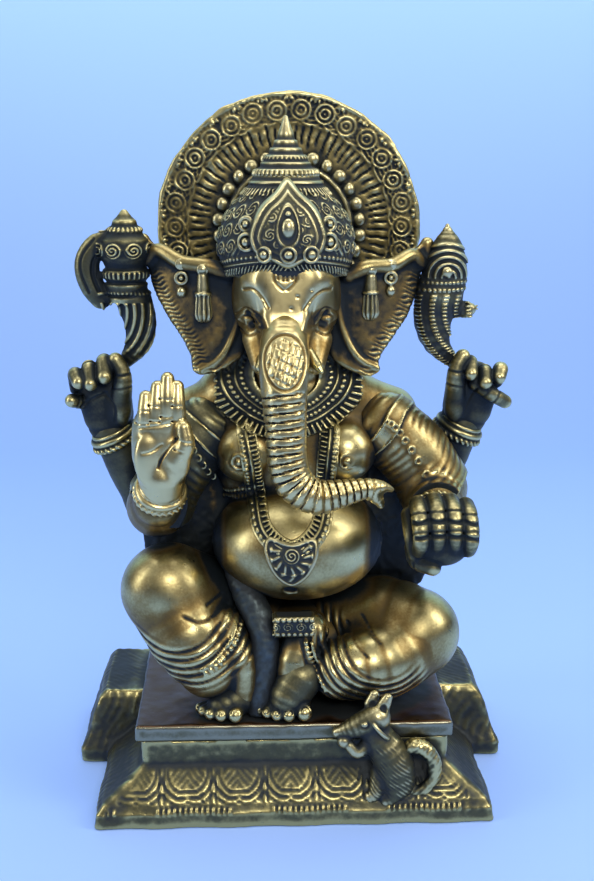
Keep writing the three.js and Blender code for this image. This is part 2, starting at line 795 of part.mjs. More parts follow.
// ---------------------------------------------------------------- mouse
// Placed from the plinth's front slope: [x, forward of the neck, height] and a radius.
const MOUSE_X = 38;
const mouseStation = ([x, y, z, r]) => [
  (x + MOUSE_X) / scale,
  (-neckDepth / 2 - y) / scale,
  (z - seatTop) / scale,
  r / scale,
];
const MOUSE_BODY = [
  [-5, 2, 38, 5.6],
  [0, 3.5, 31, 7],
  [4, 5, 23, 8],
  [5, 5, 17, 7.5],
];
const MOUSE_HEAD = [
  [-3, 2.5, 44.5, 5.8],
  [-12, 3, 40.5, 4.4],
  [-18, 3, 38.5, 2.6],
];
const MOUSE_LEGS = [
  [[6, 6, 18, 5], [3, 8, 11.5, 3.4]],
  [[-2, 4, 21, 4.4], [-3, 7, 13, 3.2]],
  [[-6, 4, 34, 3], [-11, 5, 32, 2.4], [-15, 5, 35.5, 2.1]],
];
const MOUSE_EARS = [
  [[-1, 3, 49.5, 2.9], [1, 4, 53, 2]],
  [[-5, 0.5, 50, 2.6], [-4, 0, 53, 1.9]],
];
const MOUSE_TAIL = [
  [10, 4, 13, 2.3],
  [17, 4, 15, 2.4],
  [20, 3.5, 22, 2.6],
  [17, 2.5, 29, 3],
  [12, 1.5, 32, 3.2],
];

const mouseLimb = (stations, sides) => limb(stations.map(mouseStation), { sides, steps: 1 });
const mouseForm = () =>
  join(
    mouseLimb(MOUSE_BODY, 10),
    mouseLimb(MOUSE_HEAD, 8),
    ...MOUSE_LEGS.map((leg) => mouseLimb(leg, 6)),
    ...MOUSE_EARS.map((ear) => mouseLimb(ear, 5)),
  );
const mouseGrown = (grow) =>
  join(
    ...[MOUSE_BODY, MOUSE_HEAD, ...MOUSE_LEGS].map((part) =>
      limb(part.map(mouseStation), { grow, sides: 8, steps: 1 }),
    ),
  );

// ---------------------------------------------------------------- finishes
const brass = (colour, roughness) =>
  new THREE.MeshStandardMaterial({ color: colour, roughness, metalness: 1 });
const agedBrass = brass(0x8a7440, 0.38); // figure and limbs
const brightBrass = brass(0xb99a52, 0.28); // face, trunk and raised hand
const darkBrass = brass(0x5f5236, 0.5); // ornament with patina in its relief

// ---------------------------------------------------------------- assembly
const statue = new THREE.Group();
const add = (name, shape, material) => statue.add(mesh(name, shape, material));

add("plinth", plinth, darkBrass);
add("seat_slab", seatSlab, agedBrass);

const gapBody = bodyForm(CLEARANCE);
const gapHead = headForm(CLEARANCE);
const gapTrunk = trunkForm(CLEARANCE);
const gapLegs = {
  right: legForm(RIGHT_THIGH, RIGHT_CALF, CLEARANCE),
  left: legForm(LEFT_THIGH, LEFT_CALF, CLEARANCE),
};

add("torso", onSeat(cut(bodyForm(), gapHead)), agedBrass);

const rightLeg = onSeat(cut(legForm(RIGHT_THIGH, RIGHT_CALF), gapBody));
add("right_leg", rightLeg, agedBrass);
add("left_leg", onSeat(cut(legForm(LEFT_THIGH, LEFT_CALF), gapBody, gapLegs.right)), agedBrass);
const rightFoot = onSeat(cut(footForm(RIGHT_FOOT, RIGHT_TOES), gapBody, gapLegs.right));
add("right_foot", rightFoot, agedBrass);
const leftFoot = cut(footForm(LEFT_FOOT, LEFT_TOES), gapBody, gapLegs.left, gapLegs.right);
add("left_foot", onSeat(leftFoot), agedBrass);

const gapFeet = join(
  footForm(RIGHT_FOOT, RIGHT_TOES, CLEARANCE),
  footForm(LEFT_FOOT, LEFT_TOES, CLEARANCE),
);
const sashCuts = [gapBody, gapLegs.left, gapLegs.right, gapFeet, buckleForm(CLEARANCE)];
add("waist_sash", onSeat(cut(limb(SASH, { flat: 0.6 }), ...sashCuts)), darkBrass);
add("belt_buckle", cut(buckleForm(), gapBody, gapLegs.left, gapLegs.right), darkBrass);

// Arms stop at the wrist, where the bangle covers the joint with the hand.
const armGaps = Object.fromEntries(
  Object.entries(ARMS).map(([side, arm]) => [side, armForm(arm, CLEARANCE)]),
);
const bangleGaps = Object.values(ARMS).map((arm) => bangleOf(arm, CLEARANCE));
for (const [side, arm] of Object.entries(ARMS)) {
  const { end, way } = wristOf(arm);
  const wrist = end.slice(0, 3);
  const rear = side.startsWith("rear");
  const inFront = rear ? [armGaps[side.replace("rear", "front")]] : [];
  const finish = side === "front_right" ? brightBrass : agedBrass;
  const legGap = side.endsWith("right") ? gapLegs.right : gapLegs.left;
  const armCuts = [gapBody, legGap, beyond(wrist, way), ...inFront];
  add(`${side}_arm`, cut(armForm(arm), ...armCuts), agedBrass);
  const joint = way.map((w) => w * CLEARANCE);
  const palmSide = beyond(wrist, way.map((w) => -w)).translate(joint);
  const handCuts = [palmSide, ...bangleGaps, ...inFront];
  add(`${side}_hand`, cut(handForm(HANDS[side]), ...handCuts), finish);
  add(`${side}_bangle`, cut(bangleOf(arm), gapBody, ...inFront), darkBrass);
}

const handGap = (side) => handForm(HANDS[side], CLEARANCE);
add("goad", cut(goadForm(), handGap("rear_right")), darkBrass);
add("lotus_bud", cut(budForm(), handGap("rear_left")), darkBrass);

add("head", cut(headForm(), gapTrunk), brightBrass);
add("trunk", cut(trunkForm(), gapBody), brightBrass);
for (const [name, tusk] of Object.entries(TUSKS))
  add(name, cut(limb(tusk, { sides: 8, steps: 1 }), gapHead, gapTrunk), brightBrass);

const gapCrown = crownForm(CLEARANCE);
const held = [goadForm(CLEARANCE), budForm(CLEARANCE)];
for (const [name, ear] of Object.entries(EARS))
  add(name, cut(earForm(ear), gapHead, gapBody, ...held, gapCrown), agedBrass);
const earGaps = Object.values(EARS).map((ear) => earForm(ear, CLEARANCE));
for (const [name, chains] of Object.entries(PENDANTS))
  add(name, cut(pendantForm(chains), ...earGaps, gapHead, gapCrown), darkBrass);

add("crown_dome", cut(crownForm(), gapHead, plaqueForm(CLEARANCE)), darkBrass);
add("crown_plaque", cut(plaqueForm(), gapHead), darkBrass);
const spire = turnedAt(CROWN_AXIS, SPIRE_PROFILE, 16);
add("crown_spire", cut(spire, plaqueForm(CLEARANCE), gapCrown), darkBrass);

const rivetBore = rivetHole(RIVET_RADIUS + CLEARANCE, 0, haloBack + 1);
add("halo_disc", cut(haloForm(), rivetBore), agedBrass);
add("halo_boss", cut(bossForm(), rivetBore), darkBrass);
const lug = rivetHole(LUG_RADIUS, 0, bossBack - BOSS_THICKNESS - CLEARANCE);
add("halo_lug", cut(lug, gapHead, gapCrown, gapBody, rivetBore), agedBrass);
const shankStart = bossBack - BOSS_THICKNESS - RIVET_GRIP;
const rivetShank = rivetHole(RIVET_RADIUS, shankStart, haloBack + CLEARANCE);
const rivetHead = rivetHole(2 * RIVET_RADIUS, haloBack + CLEARANCE, haloBack + RIVET_HEAD);
add("halo_rivet", join(rivetShank, rivetHead), agedBrass);

const gapArms = Object.values(armGaps);
add("collar", cut(collarForm(), gapBody, gapHead, gapTrunk, ...gapArms, ...earGaps), darkBrass);
const overChest = [gapBody, gapTrunk];
const gapCollar = collarForm(CLEARANCE);
add("garland", cut(garlandForm(), ...overChest, gapCollar), darkBrass);
const pendantCuts = [...overChest, garlandForm(CLEARANCE), buckleForm(CLEARANCE)];
add("garland_pendant", cut(pendantOnBelly(), ...pendantCuts), darkBrass);

// The shawls wrap the upper front arms.
for (const side of ["right", "left"]) {
  const arm = ARMS[`front_${side}`];
  const wrap = limb(arm.upper, { grow: CLOTH + CLEARANCE, sides: 10 });
  const clear = [...gapArms, gapBody, gapCollar, ...bangleGaps, ...earGaps];
  const bare = beyond(arm.upper[2].slice(0, 3), [0, -0.3, -1]);
  const hands = ["front_right", "front_left"].map(handGap);
  add(`${side}_shawl`, cut(wrap, ...clear, bare, ...hands), agedBrass);
}

const gapPlinth = join(plinthForm(), plinthForm().translate([0, -CLEARANCE, CLEARANCE]));
const slabGap = block(
  [-slabWidth - CLEARANCE, -slabDepth - CLEARANCE, slabBottom],
  [slabWidth + CLEARANCE, 0, seatTop + CLEARANCE],
);
add("mouse", cut(mouseForm(), gapPlinth, slabGap, gapLegs.left), agedBrass);
const tail = mouseLimb(MOUSE_TAIL, 8);
add("mouse_tail", cut(tail, gapPlinth, slabGap, mouseGrown(CLEARANCE)), agedBrass);

export default statue;
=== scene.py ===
# %% [markdown]
# # A seated, elephant-headed deity in cast brass
# The statuette is cast in sections, brazed together, chased with fine relief and then given a dark
# patina that is polished off the high points. Blender could build such forms from subdivided
# cages, but dozens of beads, folds and fingers have to melt into each other, so this lesson works
# as a sculptor does: each section is a block of clay, to which balls, rods and pressed patterns
# are added. The clay is a grid of distances to the surface, which is turned into a mesh at the end.

# %% Load the frame
import math
import bpy
import numpy as np
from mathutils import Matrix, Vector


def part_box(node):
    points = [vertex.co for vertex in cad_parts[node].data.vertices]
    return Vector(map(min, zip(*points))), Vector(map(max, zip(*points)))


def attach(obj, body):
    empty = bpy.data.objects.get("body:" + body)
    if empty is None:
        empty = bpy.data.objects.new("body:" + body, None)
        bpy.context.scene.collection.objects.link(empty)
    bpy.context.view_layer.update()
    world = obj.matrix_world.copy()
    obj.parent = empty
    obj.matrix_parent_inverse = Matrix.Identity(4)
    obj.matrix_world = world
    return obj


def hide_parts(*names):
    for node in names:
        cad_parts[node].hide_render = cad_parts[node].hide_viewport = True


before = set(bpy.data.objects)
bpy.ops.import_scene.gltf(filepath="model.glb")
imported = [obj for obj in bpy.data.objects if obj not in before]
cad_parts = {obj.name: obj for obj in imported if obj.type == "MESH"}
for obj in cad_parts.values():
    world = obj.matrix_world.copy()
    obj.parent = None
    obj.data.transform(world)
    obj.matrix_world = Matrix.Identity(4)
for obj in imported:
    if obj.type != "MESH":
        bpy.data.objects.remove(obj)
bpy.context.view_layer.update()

import openvdb
from mathutils import Vector

MM = 0.001
SEAT = float(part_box("seat_slab")[1][2]) / MM
print("seat top at", round(SEAT, 1), "mm;", len(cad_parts), "sections")

# %% [markdown]
# ## The clay
# A grid of signed distances is the simplest form of digital clay: the surface is where the
# distance is zero. A union is the smaller of two distances, and a soft union rounds the crease
# between them, as a thumb does. Only the part of the grid near a new form is worked out, so small
# forms are cheap. Figure sections are measured from the middle of the seat's top, in millimetres.

# %% Distances and the soft union
FAR = 9.0          # the distance that is noted wherever there is no clay near
FLOOR_GAP = 0.3    # what stands on the seat keeps this much air under it
RAY_STEP = 0.5     # how far a ray goes between two looks at the clay


def soft_min(a, b, blend):
    """The smaller of two distances, with the crease between them rounded over blend mm."""
    if blend <= 0:
        return np.minimum(a, b)
    near = np.maximum(blend - np.abs(a - b), 0) / blend
    return np.minimum(a, b) - near * near * blend * 0.25


def through(points, step=1.0):
    """Evenly stepped points on a smooth curve through the given ones."""
    points = np.array(points, float)
    ends = [2 * points[0] - points[1], *points, 2 * points[-1] - points[-2]]
    found = []
    for p0, p1, p2, p3 in zip(ends, ends[1:], ends[2:], ends[3:]):
        pieces = max(2, int(np.linalg.norm((p2 - p1)[:3]) / step))
        t = np.linspace(0, 1, pieces, endpoint=False)[:, None]
        bend = (2 * p0 - 5 * p1 + 4 * p2 - p3) * t + (3 * p1 - p0 - 3 * p2 + p3) * t * t
        found.append(p1 + 0.5 * t * (p2 - p0 + bend))
    return np.vstack([*found, points[-1:]])


def evenly(path, spacing):
    """Points along a path at one spacing."""
    path = np.array(path, float)
    steps = np.linalg.norm(np.diff(path[:, :3], axis=0), axis=1)
    along = np.concatenate([[0], np.cumsum(steps)])
    places = np.linspace(0, along[-1], max(2, round(along[-1] / spacing) + 1))
    return np.stack([np.interp(places, along, path[:, k]) for k in range(path.shape[1])], axis=1)


# %% The clay itself
class Clay:
    """A block of clay: the signed distance to its surface, in mm, on a grid."""

    def __init__(self, low, high, fineness=0.5):
        self.low = np.array(low, float)
        self.fineness = fineness
        count = np.ceil((np.array(high, float) - self.low) / fineness).astype(int) + 1
        self.distance = np.full(count, FAR, np.float32)

    def window(self, low, high):
        """The stretch of the grid between two corners, and its coordinates."""
        first = np.floor((np.array(low, float) - self.low) / self.fineness).astype(int)
        last = np.ceil((np.array(high, float) - self.low) / self.fineness).astype(int) + 1
        first = np.clip(first, 0, self.distance.shape)
        last = np.clip(last, 0, self.distance.shape)
        if np.any(last <= first):
            return None
        axes = [
            (self.low[k] + self.fineness * np.arange(first[k], last[k])).astype(np.float32)
            for k in range(3)
        ]
        view = tuple(slice(a, b) for a, b in zip(first, last))
        return view, np.meshgrid(*axes, indexing="ij", sparse=True)

    def everywhere(self):
        return self.window(self.low, self.low + self.fineness * np.array(self.distance.shape))

    def put(self, view, shape, blend, carve):
        """Adds a form to a stretch of the clay, or cuts it away."""
        old = self.distance[view]
        if carve:
            self.distance[view] = -soft_min(-old, shape, blend)
        else:
            self.distance[view] = soft_min(old, shape, blend)

    def ball(self, centre, radii, blend=0.0, carve=False):
        centre = np.array(centre, float)
        radii = np.broadcast_to(np.array(radii, float), 3)
        reach = radii + blend + 2 * self.fineness
        found = self.window(centre - reach, centre + reach)
        if found is None:
            return
        view, (x, y, z) = found
        parts = [(c - m) / r for c, m, r in zip((x, y, z), centre, radii)]
        outer = np.sqrt(sum(p * p for p in parts))
        inner = np.sqrt(sum((p / r) ** 2 for p, r in zip(parts, radii))) + 1e-6
        self.put(view, outer * (outer - 1) / inner, blend, carve)

    def tube(self, stations, blend=0.0, carve=False, flat=(1, 1, 1)):
        """A round-ended rod along a curve through [x, y, z, radius] stations."""
        path = through(stations, max(0.8, 0.35 * max(s[3] for s in stations)))
        reach = path[:, 3].max() + blend + 2 * self.fineness
        found = self.window(path[:, :3].min(0) - reach, path[:, :3].max(0) + reach)
        if found is None:
            return
        view, _ = found
        shape = np.full([s.stop - s.start for s in view], FAR, np.float32)
        for a, b in zip(path, path[1:]):
            near = max(a[3], b[3]) + blend + 2 * self.fineness
            spot = self.window(np.minimum(a, b)[:3] - near, np.maximum(a, b)[:3] + near)
            if spot is None:
                continue
            inside = tuple(slice(i.start - o.start, i.stop - o.start) for i, o in zip(spot[0], view))
            shape[inside] = np.minimum(shape[inside], rod_distance(spot[1], a, b, flat))
        self.put(view, shape, blend, carve)

    def line(self, path, radius, blend=0.0, carve=False):
        """A rod of one radius along a path."""
        self.tube([(*point, radius) for point in path], blend, carve)

    def ring(self, centre, axis, radius, wire, blend=0.2, carve=False):
        centre = np.array(centre, float)
        axis = np.array(axis, float) / np.linalg.norm(axis)
        reach = radius + wire + blend + 2 * self.fineness
        found = self.window(centre - reach, centre + reach)
        if found is None:
            return
        view, grid = found
        parts = [c - m for c, m in zip(grid, centre)]
        height = sum(p * n for p, n in zip(parts, axis))
        across = np.sqrt(np.maximum(sum(p * p for p in parts) - height * height, 0))
        self.put(view, np.hypot(across - radius, height) - wire, blend, carve)

    def press(self, relief, low=None, high=None):
        """Raises the surface by relief(x, y, z) mm, or sinks it where that is negative."""
        found = self.everywhere() if low is None else self.window(low, high)
        if found is not None:
            self.distance[found[0]] -= relief(*found[1]).astype(np.float32)

    def keep(self, region):
        """Cuts away all clay where region(x, y, z) is positive."""
        view, grid = self.everywhere()
        self.distance[view] = np.maximum(self.distance[view], region(*grid))

    def stand(self, floor=FLOOR_GAP):
        """Cuts the clay off flat where it stands on something."""
        view, (_, _, z) = self.everywhere()
        self.distance[view] = np.maximum(self.distance[view], floor - z)

    def sample(self, points):
        """The distance at any points, between the grid's own."""
        place = (np.asarray(points, float) - self.low) / self.fineness
        top = np.array(self.distance.shape) - 1.001
        place = np.clip(place, 0, top)
        base = place.astype(int)
        share = place - base
        total = 0
        for corner in np.ndindex(2, 2, 2):
            weight = np.prod(np.where(corner, share, 1 - share), axis=-1)
            spot = base + np.array(corner)
            total = total + weight * self.distance[spot[..., 0], spot[..., 1], spot[..., 2]]
        return total

    def touch(self, points, way=(0, 1, 0), reach=90):
        """Where rays from the points first meet the surface."""
        points = np.array(points, float)
        way = np.array(way, float) / np.linalg.norm(way)
        steps = np.arange(0, reach, RAY_STEP)
        rays = points[:, None, :] + steps[None, :, None] * way
        depth = self.sample(rays)
        hit = depth <= 0
        rows = np.flatnonzero(hit.any(1))
        if not len(rows):
            return points
        step = np.maximum(hit[rows].argmax(1), 1)
        before, after = depth[rows, step - 1], depth[rows, step]
        crossing = step - 1 + before / np.maximum(before - after, 1e-6)
        crossing = np.interp(np.arange(len(points)), rows, crossing)
        return points + crossing[:, None] * RAY_STEP * way

    def front_line(self, points, start=-60):
        """A smooth line through [x, z] points, laid on the front of the clay."""
        return self.touch(through([(x, start, z) for x, z in points]))

    def beads(self, path, radius, gap=0.15, lift=0.0, blend=0.3):
        for point in evenly(path, 2 * radius + gap):
            self.ball(point[:3] - np.array([0, lift, 0]), radius, blend)


def rod_distance(grid, a, b, flat):
    """The distance to one tapered stretch of rod, squeezed along the axes by flat."""
    line = (b - a)[:3]
    parts = [c - m for c, m in zip(grid, a)]
    share = sum(p * n for p, n in zip(parts, line)) / max(float(line @ line), 1e-6)
    share = np.clip(share, 0, 1)
    squeezed = [(p - share * n) / f for p, n, f in zip(parts, line, flat)]
    length = np.sqrt(sum(p * p for p in squeezed))
    return (length - (a[3] + share * (b[3] - a[3]))) * min(flat)


def drape(under, low, high, thickness, region, fineness=0.45):
    """A layer of clay on another form, where region(x, y, z) is negative."""
    layer = Clay(low, high, fineness)
    axes = [layer.low[k] + fineness * np.arange(layer.distance.shape[k]) for k in range(3)]
    for i, x in enumerate(axes[0]):
        y, z = np.meshgrid(axes[1], axes[2], indexing="ij")
        below = under.sample(np.stack([np.full_like(y, x), y, z], axis=-1))
        layer.distance[i] = np.maximum(below - thickness, -below - 2.0)
    layer.keep(region)
    return layer


# %% [markdown]
# ## Pressed patterns
# Chased ornament repeats a few motifs: rows of beads, ridges, combs of short strokes and spirals.
# Each motif is a height in mm over two coordinates, u along the row and v across it, so the same
# motif can run round the halo, over the crown or along the plinth.

# %% Motifs
def wrap(u, pitch):
    return np.mod(u, pitch) - pitch / 2


def bead_row(u, v, size):
    """A row of round beads of one size."""
    return np.sqrt(np.maximum(size * size / 4 - wrap(u, size * 1.08) ** 2 - v * v, 0))


def ridge(v, width, height=0.7):
    return height * np.maximum(1 - (2 * v / width) ** 2, 0)


def comb(u, v, pitch, half, height=0.7):
    """Short strokes across the row."""
    stroke = np.clip(1.4 * np.cos(2 * np.pi * u / pitch) + 0.2, -0.4, 1)
    return height * stroke * np.clip((half - np.abs(v)) * 2.5, 0, 1)


def rosette(u, v, radius, height=0.8, coil=0.8):
    """A rosette: rings round a raised eye, or a coil."""
    across = np.hypot(u, v)
    rings = 0.5 + 0.5 * np.cos(2 * np.pi * across / (radius * 0.42) + coil * np.arctan2(v, u))
    return height * rings * np.clip((radius - across) * 1.6, 0, 1)


LATTICE = np.random.default_rng(7).random((32, 32, 32)).astype(np.float32) * 2 - 1


def lumps(x, y, z, size):
    """A smooth random value, about -1 to 1, with lumps of one size."""
    x, y, z = np.broadcast_arrays(x / size, y / size, z / size)
    base = [np.floor(c).astype(int) for c in (x, y, z)]
    share = [c - b for c, b in zip((x, y, z), base)]
    share = [t * t * (3 - 2 * t) for t in share]
    total = 0
    for corner in np.ndindex(2, 2, 2):
        weight = 1
        for t, k in zip(share, corner):
            weight = weight * (t if k else 1 - t)
        total = total + weight * LATTICE[tuple((b + k) % 32 for b, k in zip(base, corner))]
    return total


def rough_cast(x, y, z, height=0.3, size=2.4):
    """The uneven skin that a sand mould leaves."""
    return height * (lumps(x, y, z, size) + 0.5 * lumps(x + 40, y, z, size / 2))


def fade(value, start, end):
    return np.clip((value - start) / (end - start), 0, 1)


# %% [markdown]
# ## From clay to mesh
# OpenVDB walks the grid and lays quads where the distance changes sign. Patina settles in hollows
# and is rubbed off ridges, so every vertex also keeps how proud it stands: the distance there,
# averaged over a few millimetres, is positive on a ridge and negative in a groove.

# %% Casting a piece
PROUD_REACH = 1.1    # mm over which the distance is averaged, twice
PROUD_FULL = 0.45    # an average of this many mm counts as fully proud
made = []


def blurred(field, width):
    for axis in range(3):
        length = field.shape[axis]
        total = np.cumsum(np.concatenate([np.take(field, [0], axis) * 0, field], axis), axis)
        high = np.minimum(np.arange(length) + width + 1, length)
        low = np.maximum(np.arange(length) - width, 0)
        counts = (high - low).reshape([-1 if k == axis else 1 for k in range(3)])
        field = (np.take(total, high, axis) - np.take(total, low, axis)) / counts
    return field


def facing_out(places, quads):
    """The quads, turned so that they enclose a positive volume."""
    a, b, c, d = (places[quads[:, k]] for k in range(4))
    volume = np.sum(a * (np.cross(b, c) + np.cross(c, d)))
    return quads if volume > 0 else quads[:, ::-1]


def cast(clay, name, nodes, rise=None):
    """Turns clay into a mesh object that stands for some CAD sections."""
    rise = SEAT if rise is None else rise
    grid = openvdb.FloatGrid(FAR)
    grid.copyFromArray(clay.distance)
    points, quads = grid.convertToQuads(0.0)
    places = clay.low + points * clay.fineness
    soft = Clay(clay.low, clay.low, clay.fineness)
    width = max(1, round(PROUD_REACH / clay.fineness))
    soft.distance = blurred(blurred(np.clip(clay.distance, -2.5, 2.5), width), width)
    proud = np.clip(soft.sample(places) / PROUD_FULL, -1, 1)
    places[:, 2] += rise
    quads = facing_out(places.astype(float), quads)
    mesh = bpy.data.meshes.new(name)
    mesh.vertices.add(len(places))
    mesh.vertices.foreach_set("co", (places * MM).astype(np.float32).ravel())
    mesh.loops.add(4 * len(quads))
    mesh.loops.foreach_set("vertex_index", quads.astype(np.int32).ravel())
    mesh.polygons.add(len(quads))
    mesh.polygons.foreach_set("loop_start", np.arange(0, 4 * len(quads), 4, dtype=np.int32))
    mesh.update(calc_edges=True)
    mesh.validate()
    mesh.shade_smooth()
    mesh.attributes.new("proud", "FLOAT", "POINT").data.foreach_set("value", proud.astype(np.float32))
    piece = bpy.data.objects.new(name, mesh)
    bpy.context.scene.collection.objects.link(piece)
    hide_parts(*nodes)
    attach(piece, "root")
    made.append((piece, clay, rise))
    print(name, len(quads), "faces")
    return piece


# %% [markdown]
# ## Torso
# The body is a big belly under a broad chest. Each is an egg of clay, and soft unions give the
# creases where flesh meets flesh.

# %% Torso
torso = Clay((-70, -47, -1), (72, 36, 152), 0.75)
torso.ball((2, 3, 14), (44, 30, 25))
torso.ball((2, 11, 76), (33, 20, 44), 8)
torso.ball((1, 2, 104), (34, 21, 30), 4)
torso.ball((2.5, -9.5, 69), (37, 32.5, 25.5), 2.5)
torso.ball((-20, -11, 109), (13, 12.5, 13), 2)
torso.ball((23, -11, 109), (13, 12.5, 13), 2)
torso.tube([(-39, 2, 117, 12.5), (2, 5, 122, 15), (43, 2, 117, 12.5)], 5)
torso.tube([(-2, 3, 124, 22), (-2, -1, 143, 17)], 5)
torso.tube([(-43, 6, 122, 11.5), (-2, 8, 132, 16), (44, 6, 122, 11.5)], 4)
torso.tube([(-26, 3, 132, 13), (-2, 6, 138, 14), (22, 3, 132, 13)], 5)
for x, wide in ((-45, 21), (47, 20)):
    torso.ball((x, 8, 70), (wide, 7, 36), 4)


def beside_body(x, z):
    """1 in the rough metal left between the arms and the body."""
    return fade(np.abs(x - 1), 31, 37) * fade(z, 26, 34) * fade(z, 118, 108)


def web(x, y, z):
    return rough_cast(x, y, z, 0.4, 2.4) * beside_body(x, z)


torso.press(web)
torso.stand()

# %% Navel, nipples and chest band
navel = torso.touch([(-1.4, -60, 55)])[0]
torso.ball(navel + (0, 0.3, 0.6), (3.0, 2.6, 2.0), 1.0, carve=True)
torso.tube([(*(navel + (0, 0.2, 1)), 1.0), (*(navel + (0, 0, 3.6)), 0.5)], 0.6, carve=True)
for x in (-22.5, 22.8):
    middle = torso.touch([(x, -60, 107.5)])[0]
    torso.ring(middle, (0.25 * np.sign(x), -1, 0), 3.1, 0.55, 0.3)
    torso.ball(middle, (1.6, 1.4, 1.6), 0.3)
for lift in (0, 3.4):
    band = through([(-29, -60, 86 + lift), (-22, -60, 89 + lift), (-15, -60, 92 + lift)])
    torso.beads(torso.touch(band), 1.15)
spine = np.array([(1, 33, z) for z in range(30, 128, 3)], float)
spine = torso.touch(spine, (0, -1, 0)) + (0, 1, 0)
torso.line(spine[::4], 1.6, 3, carve=True)

# %% [markdown]
# ## Legs
# One knee is raised and the other leg is folded flat. The cloth over them is told by ridges only:
# rings round the shin of the raised leg, and swags round the knee of the folded one.

# %% Raised leg
right_leg = Clay((-78, -50, -1), (12, 34, 74), 0.7)
right_leg.tube([(-12, 8, 22, 21), (-38, -7, 38, 21.5), (-53.5, -17, 49.5, 19.5)])
right_leg.tube([(-53, -17.5, 49, 19), (-45, -27, 33, 17.5), (-36, -32, 21, 14.5)], 5)
right_leg.tube([(-30, -29, 36, 9), (-23, -35.5, 24, 6.8), (-21.8, -36, 13, 6.4), (-22.5, -34, 6, 7.4)], 2)
right_leg.ball((-55, -24, 53), (16, 13, 15.5), 6)
KNEE = (-50.3, 59.0)


def shin_folds(x, y, z):
    """Wraps of cloth that hang in arcs under the knee."""
    across = np.hypot(x - KNEE[0], z - KNEE[1])
    angle = np.degrees(np.arctan2(z - KNEE[1], x - KNEE[0]))
    waves = np.abs(np.sin(np.pi * (across - 25 + 0.03 * angle) / 3.7)) ** 0.5
    where = fade(angle, -140, -118) * fade(angle, -24, -36) * fade(across, 24, 27) * fade(across, 47, 43)
    return 1.2 * (waves - 0.78) * where * fade(y, 0, -8)


right_leg.press(shin_folds, (-78, -50, 4), (-14, 8, 60))
for points, width in (([(-46, 46), (-38, 43), (-29, 46)], 0.5), ([(-36.5, 48.5), (-30.5, 50.2)], 0.6)):
    mark = right_leg.front_line(points)
    right_leg.line(evenly(mark, 1.5), width, 0.3, carve=True)
hem = right_leg.front_line([(-37, 23), (-31, 27), (-25, 33), (-21.5, 41)])
right_leg.beads(hem, 1.15)
right_leg.line(evenly(hem + np.array((-1.6, 0, 1.6)), 2.0), 0.8, 0.4)
right_leg.stand()

# %% Folded leg
left_leg = Clay((-10, -52, -1), (80, 34, 56), 0.7)
left_leg.tube([(14, 8, 22, 21), (40, -4, 27, 21.5), (54, -11, 27, 18)])
left_leg.tube([(54, -13, 24, 18), (39, -26, 19, 17), (20, -33, 18, 13)], 6)
left_leg.tube([(6, -29, 34, 9), (1, -34, 23, 8.2), (0.4, -35, 13, 8.2), (-0.6, -36, 6, 8)], 3)
left_leg.ball((57.5, -16, 28), (14.5, 14, 15), 6)
SWAG = (39.4, 35.0)


def swags(x, y, z):
    across = np.hypot(x - SWAG[0], z - SWAG[1])
    angle = np.degrees(np.arctan2(z - SWAG[1], x - SWAG[0])) % 360
    waves = np.abs(np.sin(np.pi * (across - 15 + 0.015 * (angle - 200)) / 3.5)) ** 0.5
    where = fade(angle, 168, 182) * fade(angle, 318, 292) * fade(across, 16, 20) * fade(across, 38, 35)
    return 1.5 * (waves - 0.78) * where * fade(y, 2, -8)


left_leg.press(swags, (-8, -52, -1), (80, 8, 50))
hem = left_leg.front_line([(5, 33), (6.5, 27), (9.5, 20), (13, 13)])
left_leg.beads(hem, 1.1)
left_leg.line(evenly(hem + np.array((2.4, 0, 0)), 2.5), 0.8, 0.4)
for x, z in ((24, 34), (30, 38)):
    cut = through([(x, -60, z), (x + 3, -60, z - 3.5), (x + 7, -60, z - 7)])
    left_leg.line(left_leg.touch(cut), 0.45, 0.3, carve=True)
left_leg.stand()

# %% [markdown]
# ## Feet
# The feet peep out below the hems with chubby toes. A toe is a short tapered rod with a nail
# pressed into its tip.

# %% Feet
def foot(low, high, sole, toes):
    clay = Clay(low, high, 0.4)
    clay.tube(sole)
    for root, tip, radius in toes:
        clay.tube([(*root, radius), (*tip, radius * 0.95)], 0.9)
        way = np.array(tip, float) - root
        nail = np.array(tip) + way / np.linalg.norm(way) * radius * 0.5 + (0, 0, radius * 0.75)
        clay.ring(nail, (way[0], way[1] - 1, 3), radius * 0.5, 0.3, 0.2, carve=True)
    clay.stand()
    return clay


right_foot = foot(
    (-44, -50, -1), (-8, -22, 16),
    [(-19, -31, 7, 8), (-26, -36, 6, 8), (-31, -39, 4.5, 6)],
    [((-24, -39, 4.5), (-25, -45, 3.4), 3.4), ((-28.5, -40, 4.5), (-31, -45, 3.4), 2.9),
     ((-31.5, -39.5, 4.5), (-35.5, -43.3, 3.2), 2.7), ((-33, -38, 4.5), (-38.5, -40.5, 3.2), 2.5),
     ((-33.5, -35.5, 4.5), (-40, -37, 3), 2.4)],
)
left_foot = foot(
    (-18, -51, -1), (14, -26, 26),
    [(3, -36, 16, 9.5), (-2, -38.5, 9, 8.6), (-4, -40.5, 5, 6.4)],
    [((2.5, -41, 6.5), (4, -45.4, 3.8), 3.5), ((-2, -42, 5.5), (-2.5, -46, 3.3), 2.9),
     ((-6, -41.5, 5), (-7.5, -45.3, 3.2), 2.7), ((-9, -40, 5), (-11.5, -43.4, 3.2), 2.5),
     ((-10.5, -38, 5), (-14, -40.5, 3), 2.4)],
)

# %% [markdown]
# ## Arms
# Each arm is a fat tapered rod, softly bent at the elbow.

